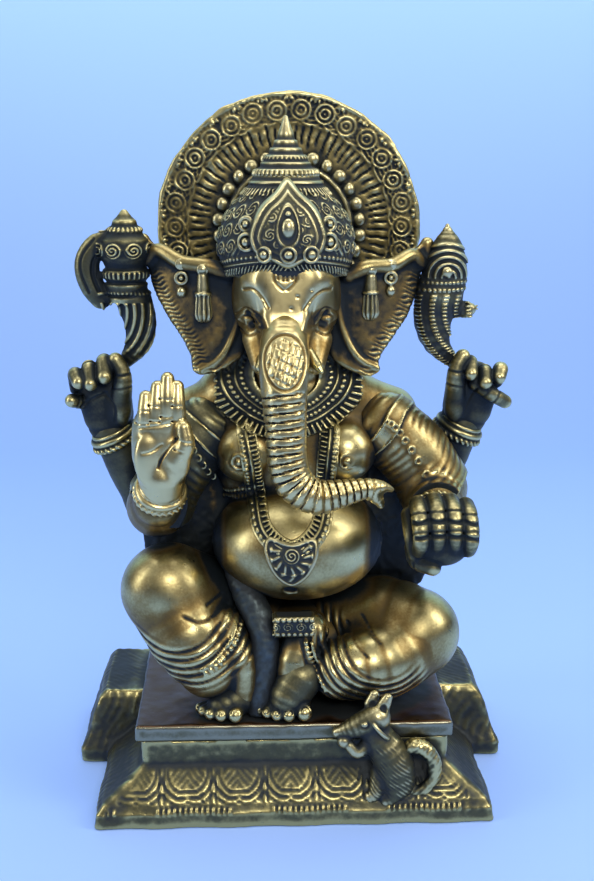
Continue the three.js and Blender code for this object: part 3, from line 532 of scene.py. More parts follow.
# %% Arms
ARMS = {
    "front_right": [(-37, -2, 117, 13), (-49, -8, 101, 12.5), (-57.5, -14, 86, 12), (-56.5, -24, 91, 10.5),
                    (-54.5, -30, 99, 8.6)],
    "front_left": [(41, -2, 117, 13.5), (54, -3, 105, 14), (63, -5, 90, 13), (61.5, -18, 86, 11.5),
                   (60, -29, 83, 9)],
    "rear_right": [(-38, 12, 114, 11), (-51, 15, 94, 11.5), (-61, 14, 80, 11.8), (-70.5, 12, 97, 10.6),
                   (-78, 9, 114, 8.7)],
    "rear_left": [(42, 12, 114, 11), (51, 15, 97, 11.5), (58, 14, 83, 11.8), (68.5, 12, 99, 10.6),
                  (76, 9, 116, 8.7)],
}


def span(stations, margin):
    stations = np.array(stations, float)
    return stations[:, :3].min(0) - margin, stations[:, :3].max(0) + margin


arms = {}
for side, stations in ARMS.items():
    arm = Clay(*span(stations, 16), 0.8)
    arm.tube(stations[:3])
    arm.tube(stations[2:], 5)
    arms[side] = arm

# %% [markdown]
# ## Bangles
# A bangle covers each wrist: a plain roll, with a twisted cord beside it.

# %% Bangles
bangles = {}
for side, stations in ARMS.items():
    before, end = np.array(stations[-2]), np.array(stations[-1])
    way = (end - before)[:3] / np.linalg.norm((end - before)[:3])
    clay = Clay(end[:3] - 16, end[:3] + 16, 0.45)
    middle = end[:3] - 1.5 * way
    clay.ring(middle, way, end[3] + 0.9, 1.6)
    clay.ring(middle - 2.9 * way, way, end[3] + 1.3, 1.5)
    clay.ring(middle + 2.4 * way, way, end[3] + 0.1, 0.9)
    first = np.cross(way, (0, 0.3, 1))
    first /= np.linalg.norm(first)
    second = np.cross(way, first)


    def twist(x, y, z, middle=middle, way=way, first=first, second=second):
        parts = [c - m for c, m in zip((x, y, z), middle)]
        height = sum(p * n for p, n in zip(parts, way)) + 2.9
        aside, ahead = (sum(p * n for p, n in zip(parts, axis)) for axis in (second, first))
        turn = np.arctan2(aside, ahead)
        return 0.4 * np.cos(26 * turn + 1.6 * height) * np.clip(1.7 - np.abs(height), 0, 1)


    clay.press(twist)
    bangles[side] = clay

# %% [markdown]
# ## Hands
# The front right hand is raised, open, in blessing. The front left hand curls round a sweet, and
# the rear hands grip what they hold. Every finger is a rod with joints pinched into it.

# %% Hands
def finger(clay, stations, blend=0.8, crease=0.5):
    clay.tube(stations, blend)
    path = through(stations)
    for share in (0.36, 0.68):
        place = path[int(share * (len(path) - 1))]
        clay.ring(place[:3], path[-1][:3] - path[0][:3], place[3] + 0.25, crease, 0.35, carve=True)


blessing = Clay((-70, -44, 92), (-38, -22, 150), 0.4)
blessing.tube([(-54.3, -31, 99, 8.7), (-54, -32.5, 104, 9)])
blessing.tube([(-54, -32, 106, 9), (-54.3, -32.6, 114, 11.6), (-54, -32, 124, 11.6)], 3, flat=(1, 0.62, 1))
blessing.ball((-47.5, -37.5, 112.5), (5.6, 3.6, 9), 2)
blessing.ball((-60, -38, 113), (4.6, 2.6, 9.5), 2.5)
for x, top, lean, r in (
    (-60.2, 141, 0.6, 3), (-55.8, 145, 1.0, 3.1), (-51.2, 148.5, 0.6, 3.2), (-46.8, 145, 0.2, 3),
):
    root, tip = (x, -34.5, 122, r + 0.4), (x + lean, -33, top - r, r * 0.85)
    middle = (x + lean * 0.6, -35, (122 + top) / 2, r + 0.2)
    finger(blessing, [root, middle, tip], 1.0, 0.36)
finger(blessing, [(-47, -37, 112, 4.8), (-43.8, -38, 119, 4), (-44.4, -37.6, 126, 3.2)], 1.2, 0.36)
PALM_LINES = [
    (0.5, [(-46.8, 122.5), (-50, 118.5), (-53.5, 113.5), (-55, 109)]),
    (0.35, [(-62, 126), (-56, 127), (-50, 128)]),
    (0.25, [(-61, 116), (-57, 117), (-53, 119.5)]),
]
for width, points in PALM_LINES:
    crease = blessing.front_line(points)
    blessing.line(crease[::2], width, 0.5, carve=True)

# %% Hand round the sweet
offering = Clay((42, -58, 62), (80, -22, 104), 0.4)
offering.tube([(60, -29, 83, 9), (60, -33, 82, 9.8)])
offering.tube([(60, -34, 82, 10), (60, -41, 82, 11.8)], 4)
offering.ball((60.5, -46.5, 78), (10.5, 8, 8.5), 1)
for i, x in enumerate((50.6, 57.2, 63.9, 70.3)):
    drop = (1.5, 0, 0.4, 2.4)[i]
    finger(offering, [
        (x, -40, 95 - drop, 3.7), (x, -47, 93.5 - drop, 3.8), (x + 0.2, -51.6, 88 - drop, 3.8),
        (x + 0.2, -52.6, 82 - drop * 0.3, 3.6), (x, -49.5, 77, 3.3),
    ])
for lift in (90.3, 84.6):
    row = [(46, lift - 1.2), (54, lift), (61, lift), (68, lift - 0.6), (75, lift - 2)]
    row = offering.front_line(row, -70)
    offering.line(evenly(row, 1.0), 0.75, 0.8, carve=True)
finger(offering, [(50, -38, 74, 4.2), (50.5, -45, 71, 3.9), (56, -49.5, 69.5, 3.5)])
offering.tube([(47.5, -36, 88, 3.2), (47.5, -44, 82, 3), (49, -47, 74, 2.8)], 1.4)


# %% Gripping hands
def gripping(palm, fingers, thumb, creases):
    low, high = span([*palm, *[s for f in fingers for s in f], *thumb], 8)
    clay = Clay(low, high, 0.4)
    clay.tube(palm, flat=(1, 0.75, 1))
    mound = np.array(thumb[0][:3]) + (0, 0.5, -4)
    clay.ball(mound, (4.6, 4.6, 7.5), 2.5)
    for stations in fingers:
        finger(clay, stations)
    finger(clay, thumb)
    for points in creases:
        path = clay.front_line(points, -30)
        clay.line(path[::2], 0.5, 0.5, carve=True)
    return clay


grip_right = gripping(
    [(-78, 9, 114, 8.9), (-79.5, 8, 122, 11), (-81, 7.5, 132, 11.6)],
    [[(-92, 5, 134, 3.4), (-92, 0, 141, 3.3), (-90, -5, 138.5, 3)],
     [(-86, 6, 138, 3.5), (-86, 0, 144, 3.3), (-85, -5.5, 138, 3.1)],
     [(-79.5, 6, 139, 3.7), (-79.5, 0, 146.5, 3.5), (-79, -5.5, 141, 3.3)],
     [(-90, 3, 128, 3), (-94, 0, 129.5, 3)]],
    [(-73, 1, 130, 4.6), (-71.6, -2.5, 138, 4), (-72, -2.5, 143, 3.6), (-74.5, -2, 147.5, 3.2)],
    [((-80, 133), (-75.5, 127), (-76, 119)), ((-90, 127), (-84, 131), (-79, 133))],
)
grip_left = gripping(
    [(76, 9, 116, 8.9), (78.5, 8, 124, 11), (80, 7.5, 133, 11.4)],
    [[(90, 5, 136, 3.4), (91, 0, 142, 3.3), (89.5, -4, 139, 3)],
     [(84, 6, 137, 3.4), (84, 0, 141, 3.3), (83.5, -5, 137, 3.1)],
     [(78, 6, 139, 3.5), (77.5, 0, 145, 3.3), (77.2, -5, 141, 3.1)],
     [(80, -2, 136, 3.2), (87, -3, 131.5, 3.2), (93.4, 0, 127.5, 3)]],
    [(71.5, 1, 130, 4.5), (71, -2.5, 138, 4), (71.6, -2.5, 143.5, 3.6), (74, -2, 148, 3.2)],
    [((80, 134), (77, 128), (75, 121))],
)

# %% [markdown]
# ## Head
# The skull is high and domed, with a heavy brow over sunken eyes, and it runs down into the trunk.
# Brows and the mark on the forehead are engraved after the metal is polished, so they are cuts.

# %% Head
head = Clay((-32, -46, 134), (29, 26, 200), 0.5)
head.ball((-2, -3, 174), (23.5, 24, 25))
head.ball((-3, -6, 156), (16, 19, 16), 5)
head.tube([(-17, 6, 151, 9.5), (13, 6, 151, 9.5)], 4)
head.ball((-2, -14, 183), (20.5, 19.5, 14), 5)
head.tube([(-2.5, -16, 178, 15), (-3, -25, 167, 11.5), (-3.5, -31, 158, 10.4)], 5)


def face_plane(x, y, z):
    """In front of the flat polished plane of the forehead."""
    return -29.6 - 0.13 * (190 - z) - 0.04 * np.maximum(172 - z, 0) ** 2 - y + 0 * x


view, grid = head.window((-30, -46, 158), (27, 0, 200))
head.distance[view] = -soft_min(-head.distance[view], -face_plane(*grid).astype(np.float32), 1.8)
for side, x in ((-1, -17.8), (1, 14.2)):
    head.ball((-3 + side * 20.5, -37.5, 160), (13.4, 15, 17), 3, carve=True)
    head.tube([(x - side * 3, -17, 158, 5.5), (x - side * 5, -24, 149, 4.2)], 4)
    eye = head.touch([(x, -60, 167)])[0]
    head.ball(eye + (0, -0.8, 0.2), (5.6, 2.6, 3.6), 1.0, carve=True)
    head.ball(eye + (-0.9 * side, 3.2, 0), (3.3, 2.8, 2.0), 0.3)
    for lift, wire in ((2.4, 0.42), (-1.9, 0.36)):
        height = 167 + lift * 0.85
        lid = head.front_line([(x - 4.6, 166.4), (x - 2, height), (x + 2, height), (x + 4.6, 166.4)])
        head.line(evenly(lid, 1.2), wire, 0.5)
    for points in ([(x - 5.4, 168.3), (x - 1, 171.8), (x + 5, 169)], [(x - 4.6, 162.6), (x, 160.6), (x + 4.4, 162.8)]):
        head.line(evenly(head.front_line(points), 1.2), 0.4, 0.5, carve=True)
    head.ring(head.touch([(x + 0.4, -60, 166.9)])[0], (0, -1, 0), 1.3, 0.28, 0.2, carve=True)
for x, z in ((7.5, 180), (1.8, 177.6), (-0.7, 173)):
    head.ball(head.touch([(x, -60, z)])[0], 0.55, 0.2, carve=True)

# %% Brows and forehead mark
def engrave(clay, points, width):
    path = clay.front_line(points)
    clay.line(path, width, 0.2, carve=True)


engrave(head, [(-20, 179.6), (-16.4, 180.4), (-12.6, 177.6), (-9.8, 173)], 0.6)
engrave(head, [(4.2, 172.2), (7.5, 176.6), (11.5, 179.4), (16, 179.8)], 0.6)
for points in ([(-7.3, 190), (-7.3, 184), (-4.2, 180.4)], [(1, 190), (1, 184), (-2.4, 180.4)]):
    engrave(head, points, 0.5)
for x, top, bottom in ((-6, 189, 184.6), (-0.3, 189, 184.6), (-3.9, 188, 184), (-2.4, 188, 184)):
    engrave(head, [(x, top), (x, bottom)], 0.5)

# %% [markdown]
# ## Trunk
# The trunk hangs straight, then sweeps to the deity's left, with two lips at its tip. Its rings
# are cut square to its middle line, so each point of the clay looks up how far along that line it
# lies.

# %% Trunk
trunk = Clay((-20, -62, 92), (44, -14, 172), 0.4)
TRUNK = [
    (-3.4, -26, 165, 8.2), (-3.6, -31.5, 158.5, 9.8), (-3.8, -36, 151.5, 10.1), (-4, -40, 142, 9.4),
    (-3.4, -43, 126, 8.3), (-3, -45, 114, 8.0), (-0.2, -46.5, 105, 7.9), (8, -47.5, 99.4, 7.4),
    (19, -46, 100.3, 5.7), (28.5, -43.5, 101.5, 4.2), (34, -42, 101, 3.2),
]
trunk.tube(TRUNK)
trunk.tube([(31, -43, 101.5, 3.6), (36, -42, 101.6, 2.4), (39.5, -41, 100.2, 1.3)], 1.5)
trunk.tube([(30, -43, 100.5, 3.6), (34, -42, 96.5, 2.6), (35.3, -41.5, 93.6, 1.5)], 1.5)
middle_line = evenly(through(TRUNK, 0.8), 0.6)


def trunk_rings(x, y, z):
    x, y, z = np.broadcast_arrays(x, y, z)
    best = np.full(x.shape, 1e9, np.float32)
    along = np.zeros(x.shape, np.float32)
    for i, (cx, cy, cz, _) in enumerate(middle_line):
        away = (x - cx) ** 2 + (y - cy) ** 2 + (z - cz) ** 2
        closer = away < best
        best[closer] = away[closer]
        along[closer] = 0.6 * i
    groove = np.maximum(np.cos(2 * np.pi * along / 3.3 + 0.15 * x), 0) ** 3
    groove = groove * np.maximum(fade(x, 4.5, 1.0), fade(z, 110, 106))
    return -1.1 * groove * fade(along, 27, 30) * fade(along, 104, 98) * fade(y, -36, -44)


trunk.press(trunk_rings)

# %% The plaque at the trunk's root
PLAQUE_MIDDLE = (-3.7, 153.6)
turns = np.linspace(0, 2 * math.pi, 40)
rim = [(PLAQUE_MIDDLE[0] + 8.4 * math.cos(t), PLAQUE_MIDDLE[1] + 10.4 * math.sin(t)) for t in turns]
engrave(trunk, rim, 0.75)
for lean, count, pitch in ((-0.5, 5, 3.6), (3.2, 5, 2.9)):
    for i in range(count):
        offset = (i - (count - 1) / 2) * pitch
        line = []
        for t in np.linspace(-12, 12, 25):
            way = np.array([1, lean]) / math.hypot(1, lean)
            side = np.array([-way[1], way[0]])
            x, z = way * t + side * offset
            if (x / 7.2) ** 2 + (z / 9.2) ** 2 < 1:
                line.append((PLAQUE_MIDDLE[0] + x, PLAQUE_MIDDLE[1] + z))
        if len(line) > 3:
            engrave(trunk, line[::3] + [line[-1]], 0.42)

# %% [markdown]
# ## Tusks
# Both tusks are short. The one on the deity's right is broken off, as custom has it.

# %% Tusks
TUSKS = {
    "right_tusk": [(-12, -25, 152.5, 2.7), (-13.6, -30, 149, 2.0)],
    "left_tusk": [(6.5, -28, 154, 2.8), (9.4, -32.8, 150.2, 2.1), (11.2, -35, 148, 1.0)],
}
tusks = {}
for name, stations in TUSKS.items():
    tusks[name] = Clay(*span(stations, 6), 0.4)
    tusks[name].tube(stations)

# %% [markdown]
# ## Ears
# Each ear is a broad curved sheet with a thick rolled top edge. A sheet's distance comes from two
# simpler ones: how far a point is from the curved surface, and from the outline seen from the
# front. Tufts of hair are short strokes along the outer edge.

# %% Ears
def outline_distance(x, z, rim):
    """The distance to a closed outline in the x-z plane, negative inside."""
    rim = np.array(rim, float)
    nearest = np.full(np.broadcast(x, z).shape, 1e9)
    inside = np.zeros(nearest.shape, bool)
    for (ax, az), (bx, bz) in zip(rim, np.roll(rim, -1, axis=0)):
        ex, ez = bx - ax, bz - az
        share = np.clip(((x - ax) * ex + (z - az) * ez) / max(ex * ex + ez * ez, 1e-9), 0, 1)
        nearest = np.minimum(nearest, np.hypot(x - ax - share * ex, z - az - share * ez))
        crosses = ((az > z) != (bz > z)) & (x < (bx - ax) * (z - az) / (bz - az + 1e-9) + ax)
        inside ^= crosses
    return np.where(inside, -nearest, nearest)


def closed(points, step=1.0):
    points = [tuple(p) for p in points]
    path = through([points[-1], *points, points[0], points[1]], step)
    start = int(np.argmin(np.linalg.norm(path - np.array(points[0]), axis=1)))
    end = len(path) - 1 - int(np.argmin(np.linalg.norm(path[::-1] - np.array(points[0]), axis=1)))
    return path[start:end] if end > start else path


EARS = {
    "right_ear": [
        (-19, 160), (-20, 176), (-26, 186), (-34, 188.5), (-45, 190), (-55, 194.5), (-62, 198.5), (-60.5, 190),
        (-58, 178), (-52.5, 167), (-47, 159), (-42.5, 151), (-41, 143.5), (-34, 142.5), (-26, 146), (-20, 151),
    ],
    "left_ear": [
        (16, 160), (16.5, 150), (23, 144.5), (31, 141.5), (36, 142.5), (38, 150), (44, 158), (50.5, 167),
        (54.5, 178), (57, 188), (58.5, 196.5), (51, 192), (42, 188.5), (32, 188), (24, 185), (17, 176),
    ],
}


def ear_bow(x, z):
    """How far back the sheet of an ear lies."""
    out = (np.abs(x + 2) - 18) / 42
    return -5.5 + 12 * out - 7.5 * np.sin(np.pi * np.clip(out, 0, 1)) + (z - 170) * 0.05


ears = {}
for name, rim in EARS.items():
    side = -1 if name == "right_ear" else 1
    low = (min(p[0] for p in rim) - 5, -24, 136)
    high = (max(p[0] for p in rim) + 5, 18, 204)
    ear = Clay(low, high, 0.5)
    view, (x, y, z) = ear.window(low, high)
    flat_rim = outline_distance(x[:, 0, :], z[0], closed(rim, 2.0))[:, None, :]
    thick = 1.9 + 0.9 * fade(flat_rim, -9, 0)
    sheet = np.abs(y - ear_bow(x, z)) - thick
    ear.distance[view] = -soft_min(-sheet, -flat_rim.astype(np.float32), 2.0)
    top = [p for p in rim if p[1] > 183]
    top.sort(key=lambda p: abs(p[0]))
    thin = 0.9 / len(top)
    roll = [(px, ear_bow(px, pz) - 2.2, pz - 1.0, 3.4 - thin * i) for i, (px, pz) in enumerate(top)]
    ear.tube(roll, 1.6)

    def tufts(x, y, z, flat_rim=flat_rim, side=side):
        along = 0.25 * x * side + z + 0.5 * np.sin(0.6 * z + 0.9 * x)
        strokes = np.sin(2 * np.pi * along / 1.9)
        outer = fade(x * side - 0.42 * (z - 142), 26, 30)
        edge = fade(flat_rim, -7.5, -5) * fade(flat_rim, 0.3, -0.6) * outer
        folds = 0.25 * np.sin(0.42 * x * side + 0.2 * z) * fade(flat_rim, -3, -9)
        return (0.3 * strokes * edge + folds + rough_cast(x, y, z, 0.16, 3.4)) * fade(z, 187, 182)

    ear.press(tufts)
    fold = [(18.5, 186), (19.5, 172), (22, 160), (28, 149.5), (36, 144.5)]
    fold = [(side * px - 2 * (side < 0), pz) for px, pz in fold]
    ear.tube([(px, ear_bow(px, pz) - 2.0, pz, 1.5) for px, pz in fold], 1.2)
    ears[name] = ear

# %% [markdown]
# ## Ear pendants
# A stud and two short chains hang at the top of each ear: rings, then a fluted tassel.

# %% Ear pendants
def pendant(drops, ear):
    ends = [(x, -10, z, 0) for x, *heights in drops for z in heights]
    low, high = span(ends, 9)
    clay = Clay(low, high, 0.4)
    for number, (x, top, bottom) in enumerate(drops):
        y = ear.touch([(x, -24, (top + bottom) / 2)])[0][1] - 1.0
        clay.ball((x, y, top), (2.5, 2.3, 2.3), 0.3)
        clay.ring((x, y - 1.2, top), (0, -1, 0), 2.0, 0.5)
        middle = (top + bottom) / 2
        if number == 0:
            clay.ring((x, y - 0.6, middle), (0, -1, 0), 2.3, 0.8)
            clay.ball((x, y - 0.6, middle), (1.1, 1.3, 1.1), 0.2)
            clay.ball((x, y, bottom), (2.2, 2, 2.4), 0.4)
        else:
            clay.tube([(x, y, top - 3, 2.4), (x, y, middle, 2.9)], 0.4)
            clay.ring((x, y, middle - 0.6), (0, 0, 1), 2.9, 0.7)
            clay.tube([(x, y, middle - 2.4, 2.8), (x, y, bottom, 3.4)], 0.4)
            flutes = lambda u, v, w, x=x, y=y: 0.45 * np.cos(9 * np.arctan2(v - y, u - x)) + 0 * w
            clay.press(flutes, (x - 6, y - 6, bottom - 5), (x + 6, y + 6, middle - 1.8))
    return clay


pendants = {
    "right_ear_pendants": pendant([(-45.5, 188.5, 177), (-36.5, 186.5, 168)], ears["right_ear"]),
    "left_ear_pendants": pendant([(41.5, 188, 177), (33, 186, 168.5)], ears["left_ear"]),
}

# %% [markdown]
# ## Crown
# The crown is a dome over a brow band, with a pointed plaque in front and a stepped spire on top.
# Its ornament is drawn in two coordinates, the angle round the dome and the height, which the
# motifs then raise.

# %% Crown dome
CROWN = (-2.0, -4.0)


def turned_distance(x, y, z, axis, profile):
    """The distance to a form turned about an upright axis, from [radius, height] points."""
    across = np.hypot(x - axis[0], y - axis[1])
    rim = [(0, profile[0][1]), *profile, (0, profile[-1][1])]
    across, z = np.broadcast_arrays(across, z)
    return outline_distance(across, z, [(-p[0], p[1]) for p in rim[::-1]] + rim)


crown = Clay((-34, -40, 180), (30, 28, 226), 0.45)
view, (x, y, z) = crown.everywhere()
DOME = [(25.5, 184), (27.4, 190), (28.4, 196), (27.4, 202), (24.8, 208.5), (20, 214.8), (15.2, 220.6), (13.4, 224.5)]
crown.distance[view] = turned_distance(x, y, z, CROWN, [tuple(p) for p in through(DOME, 2)])


def crown_ornament(x, y, z):
    turn = np.arctan2(x - CROWN[0], -(y - CROWN[1]))
    u = turn * 26
    up = z - 184 - 3.2 * np.cos(np.clip(turn * 1.6, -np.pi, np.pi))
    band = comb(u + 0.6 * up * np.sign(turn), up - 2.2, 1.7, 1.7, 0.9) + ridge(up - 4.8, 1.4, 0.8)
    band = band + bead_row(u, up - 6.8, 2.0) * 0.8
    stagger = 3.6 * np.mod(np.floor((up - 9) / 6.8), 2)
    scrolls = rosette(wrap(u + 6 + stagger, 7.2), wrap(up - 9, 6.8), 3.7, 0.85, 1.6)
    scrolls = scrolls * fade(up, 8.4, 9.4) * fade(up, 34, 32.5)
    arch = np.abs(np.abs(u) - (33 - up) * 0.95) - 0.5
    arches = (ridge(arch, 1.8, 0.8) + ridge(arch - 2.4, 1.3, 0.6)) * fade(up, 6, 9) * fade(up, 33, 31)
    rim = ridge(z - 221.6, 2.2, 0.8) + comb(u * 0.55, z - 218, 1.5, 1.8, 0.7)
    return band + np.maximum(scrolls, arches) + rim


crown.press(crown_ornament)

# %% Crown plaque
def front_of_crown(x, z):
    rise_up = np.maximum(0, z - 198) / 30
    radius = 28.6 * np.sqrt(np.maximum(0, 1 - rise_up ** 2))
    return CROWN[1] - np.sqrt(np.maximum(radius ** 2 - (x + 2) ** 2, 9))


plaque = Clay((-22, -42, 184), (18, -12, 228), 0.4)
view, (x, y, z) = plaque.everywhere()
PLAQUE = [
    (13.5, 200), (12, 207), (8.5, 213.5), (3, 218.5), (-2, 224), (-7, 218.5), (-12.5, 213.5), (-16, 207),
    (-17.5, 200), (-14.5, 194), (-8, 191.5), (-2, 189), (4, 191.5), (10.5, 194),
]
shape = outline_distance(x[:, 0, :], z[0], closed(PLAQUE, 1.5))[:, None, :]
depth = y - front_of_crown(x, z)
sheet = np.abs(depth) - 1.9
plaque.distance[view] = -soft_min(-sheet, -shape.astype(np.float32), 1.0)
GEM = (-2.0, 205.5)


def plaque_relief(x, y, z, shape=shape):
    gem = np.hypot((x - GEM[0]) / (0.82 - 0.028 * (z - GEM[1])), (z - GEM[1]) * 0.62)
    frame_ridge = ridge(shape + 1.2, 1.7, 0.7) + ridge(shape + 3.9, 1.3, 0.45)
    halo_ridge = ridge(gem - 5.0, 1.5, 0.6)
    aslant = [(x - GEM[0]) * 0.8 + (z - GEM[1]) * 0.6, (z - GEM[1]) * 0.8 - (x - GEM[0]) * 0.6]
    fronds = rosette(wrap(aslant[0], 5.2), wrap(aslant[1] + 1, 5.2), 2.9, 0.7, 1.8)
    fronds = fronds * fade(gem, 5.8, 6.6) * fade(shape, -5.0, -5.8)
    return frame_ridge + halo_ridge + fronds


plaque.press(plaque_relief)
plaque.ball((GEM[0], float(front_of_crown(GEM[0], 204)) - 1.6, 204.4), (2.9, 2.2, 4.2), 0.4)
plaque.ball((GEM[0], float(front_of_crown(GEM[0], 210)) - 1.8, 210), (1.3, 1.2, 1.3), 0.3)
for x, r in ((-11.5, 3.3), (-2, 3.4), (7, 3.5)):
    spot = (x, float(front_of_crown(x, 194)) - 2.2, 194.5)
    plaque.ball(spot, (r * 0.55, 1.6, r * 0.55), 0.3)
    plaque.ring(spot, (0.05 * x, -1, 0), r * 0.85, 0.7)
for x in (-18.5, 14.5):
    for z0, r in ((199, 3.2), (206, 2.6)):
        spot = (x, float(front_of_crown(x, z0)) - 0.8, z0)
        plaque.ball(spot, (r * 0.6, 1.5, r * 0.6), 0.3)
        plaque.ring(spot, (0.5 * np.sign(x), -1, 0), r, 0.8)

# %% Spire
spire = Clay((-18, -20, 222), (14, 12, 250), 0.4)
view, (x, y, z) = spire.everywhere()
SPIRE = [(13.2, 223.3), (13.6, 225), (12.8, 226.8), (10.6, 227.4), (10.4, 229.4), (9, 230), (8.6, 232.2),
         (7, 232.8), (6.6, 235), (5.2, 235.6), (4.8, 238), (3.6, 238.6), (3.2, 241), (2, 244), (0.7, 248)]
spire.distance[view] = turned_distance(x, y, z, CROWN, SPIRE)
spire.press(lambda x, y, z: comb(np.arctan2(x - CROWN[0], -(y - CROWN[1])) * 12, z - 225.2, 1.9, 1.6, 0.5))
spire.press(lambda x, y, z: comb(np.arctan2(x - CROWN[0], -(y - CROWN[1])) * 9, z - 231, 1.9, 0.9, 0.4))

# %% [markdown]
# ## Halo
# The halo is a disc with a border of coiled rosettes, then radial flutes, then a ring of large
# beads. All of it is relief in polar coordinates on the disc's front.

# %% Halo
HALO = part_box("halo_disc")
HALO_MIDDLE = ((HALO[0][0] + HALO[1][0]) / 2 / MM, (HALO[0][2] + HALO[1][2]) / 2 / MM - SEAT)
HALO_RADIUS = (HALO[1][0] - HALO[0][0]) / 2 / MM
HALO_FRONT = HALO[0][1] / MM + 1.0
HALO_BACK = HALO[1][1] / MM
halo = Clay((HALO_MIDDLE[0] - 61, HALO_FRONT - 5, HALO_MIDDLE[1] - 61),
            (HALO_MIDDLE[0] + 61, HALO_BACK + 2, HALO_MIDDLE[1] + 61), 0.55)
view, (x, y, z) = halo.everywhere()


def polar(x, z):
    """The distance from the halo's middle, and the angle from straight up."""
    x, z = x - HALO_MIDDLE[0], z - HALO_MIDDLE[1]
    return np.hypot(x, z), np.arctan2(x, z)


across, turn = polar(x, z)
edge = HALO_RADIUS - 0.5 + 0.35 * np.sin(9 * turn) + 0.2 * np.sin(23 * turn + 1)
slab = np.abs(y - (HALO_FRONT + HALO_BACK) / 2) - (HALO_BACK - HALO_FRONT) / 2
halo.distance[view] = -soft_min(-slab, -(across - edge), 1.2)
ROSETTES = 30


def halo_relief(x, y, z):
    across, turn = polar(x, z)
    pitch = 2 * np.pi / ROSETTES
    number = np.floor(turn / pitch)
    u = wrap(turn, pitch) * 50.5
    v = across - 50.6 - 0.5 * np.sin(number * 2.4)
    waves = 0.4 * np.cos(2 * np.pi * np.hypot(np.abs(u) - 5.3, v - 3.6) / 1.9) * (np.hypot(u, v) > 4.9)
    worn_away = 0.55 + 0.45 * lumps(x, y, z, 7.0)
    border = rosette(u, v, 5.0, 1.1, 0.25) + waves * fade(np.abs(v), 6.5, 5.5)
    border = (border + 0.5 * ridge(across - 44.8, 1.6, 0.8) + ridge(across - 57.2, 2.4, 0.8)) * worn_away
    filler = 0.8 * bead_row((turn - pitch / 2) * 50.5 + 5.3, across - 55.3, 1.8) * (np.abs(u) > 3.2)
    length = 0.5 + 0.5 * np.sin(np.floor(turn * 10) * 2.7)
    strokes = np.maximum(np.cos(turn * 78 + 1.1 * np.sin(turn * 9) + 0.25 * np.sin(across)), 0) ** 7
    inner, outer = 33.5 + 3 * length, 45.5 - 2 * length
    flutes = 0.45 - 1.2 * strokes * fade(across, inner, inner + 2.5) * fade(across, outer, outer - 2)
    flutes = flutes + rough_cast(x, y, z, 0.2, 3.0)
    return (border + filler + flutes) * (y < HALO_FRONT + 1.2)


halo.press(halo_relief)
rear_rings = lambda x, y, z: (ridge(polar(x, z)[0] - 54, 3, 0.6)) * (y > HALO_BACK - 1.2)
halo.press(rear_rings)

# %% The halo's middle with its beads
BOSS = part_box("halo_boss")
boss_front, boss_back = BOSS[0][1] / MM, BOSS[1][1] / MM
boss = Clay((HALO_MIDDLE[0] - 36, boss_front - 3, HALO_MIDDLE[1] - 36),
            (HALO_MIDDLE[0] + 36, boss_back + 1, HALO_MIDDLE[1] + 36), 0.5)
view, (x, y, z) = boss.everywhere()
across, turn = polar(x, z)
boss.distance[view] = -soft_min(-(across - 28.6), -(np.abs(y - boss_back + 1.3) - 1.3), 1.0)
BEADS = 28
for i in range(BEADS):
    angle = 2 * math.pi * (i + 0.5) / BEADS
    centre = (HALO_MIDDLE[0] + 31 * math.sin(angle), boss_back - 2.3, HALO_MIDDLE[1] + 31 * math.cos(angle))
    boss.ball(centre, (2.7 + 0.5 * (i % 2), 2.2, 3.2), 0.5)
boss.ring((HALO_MIDDLE[0], boss_back - 2.6, HALO_MIDDLE[1]), (0, 1, 0), 27, 1.2, 0.5)

# %% [markdown]
# ## What the rear hands hold
# A goad with a hooked blade, and a lotus bud on a curling stem.

# %% Goad
goad = Clay((-99, -8, 140), (-54, 18, 214), 0.4)
goad.tube([(-70.5, 5, 146, 3.2), (-65.5, 5, 153, 5.4), (-64, 5, 162, 6.8), (-66.5, 5, 172, 7.6)])
view, (x, y, z) = goad.everywhere()
GOAD = (-69.5, 5.0)
GOAD_PROFILE = [
    (7.6, 171), (8.2, 173.4), (7.2, 174.4), (8.4, 176), (9.2, 179), (8.2, 180), (9.4, 181.5), (9.8, 185), (8.6, 186),
    (9.2, 187.4), (10.4, 190), (10.9, 194), (10, 197.6), (7.6, 200), (7.2, 202), (5.4, 203.6), (5, 205.4), (3.2, 207),
    (1, 210),
]
knob = turned_distance(x, y, z, GOAD, GOAD_PROFILE).astype(np.float32)
goad.put(view, knob, 0.8, carve=False)
BLADE = [
    (-75, 4, 197, 4.0), (-81, 4, 195.5, 4.8), (-85, 4, 190, 5.2), (-85.6, 4, 184, 5.3), (-83.4, 4, 177.5, 5.2),
    (-80.4, 4, 173, 4.6),
]
goad.tube(BLADE, 0.8, flat=(1, 0.6, 1))
inner = goad.front_line(((-79, 193), (-82.4, 189), (-83, 183), (-80.6, 176)), -20)
goad.line(evenly(inner, 1.0), 0.8, 0.5, carve=True)
outer = goad.front_line(((-82, 198.2), (-87.4, 191), (-88, 184), (-85, 175.6)), -20)
goad.line(evenly(outer, 1.0), 0.6, 0.4, carve=True)


def goad_relief(x, y, z):
    turn = np.arctan2(x - GOAD[0], -(y - GOAD[1])) * 9
    near = np.hypot(x - GOAD[0], y - GOAD[1]) < 12.5
    rows = comb(turn, z - 183, 2.1, 1.5, 0.6) + bead_row(turn, z - 175.3, 1.8) * 0.6
    rows = rows + rosette(wrap(turn, 7.5), z - 193.5, 3.5, 0.9)
    return (rows + comb(turn * 0.7, z - 202, 1.8, 1.2, 0.4)) * near


goad.press(goad_relief, (-99, -8, 172), (-54, 18, 206))
HORN = (-86.0, 168.0)


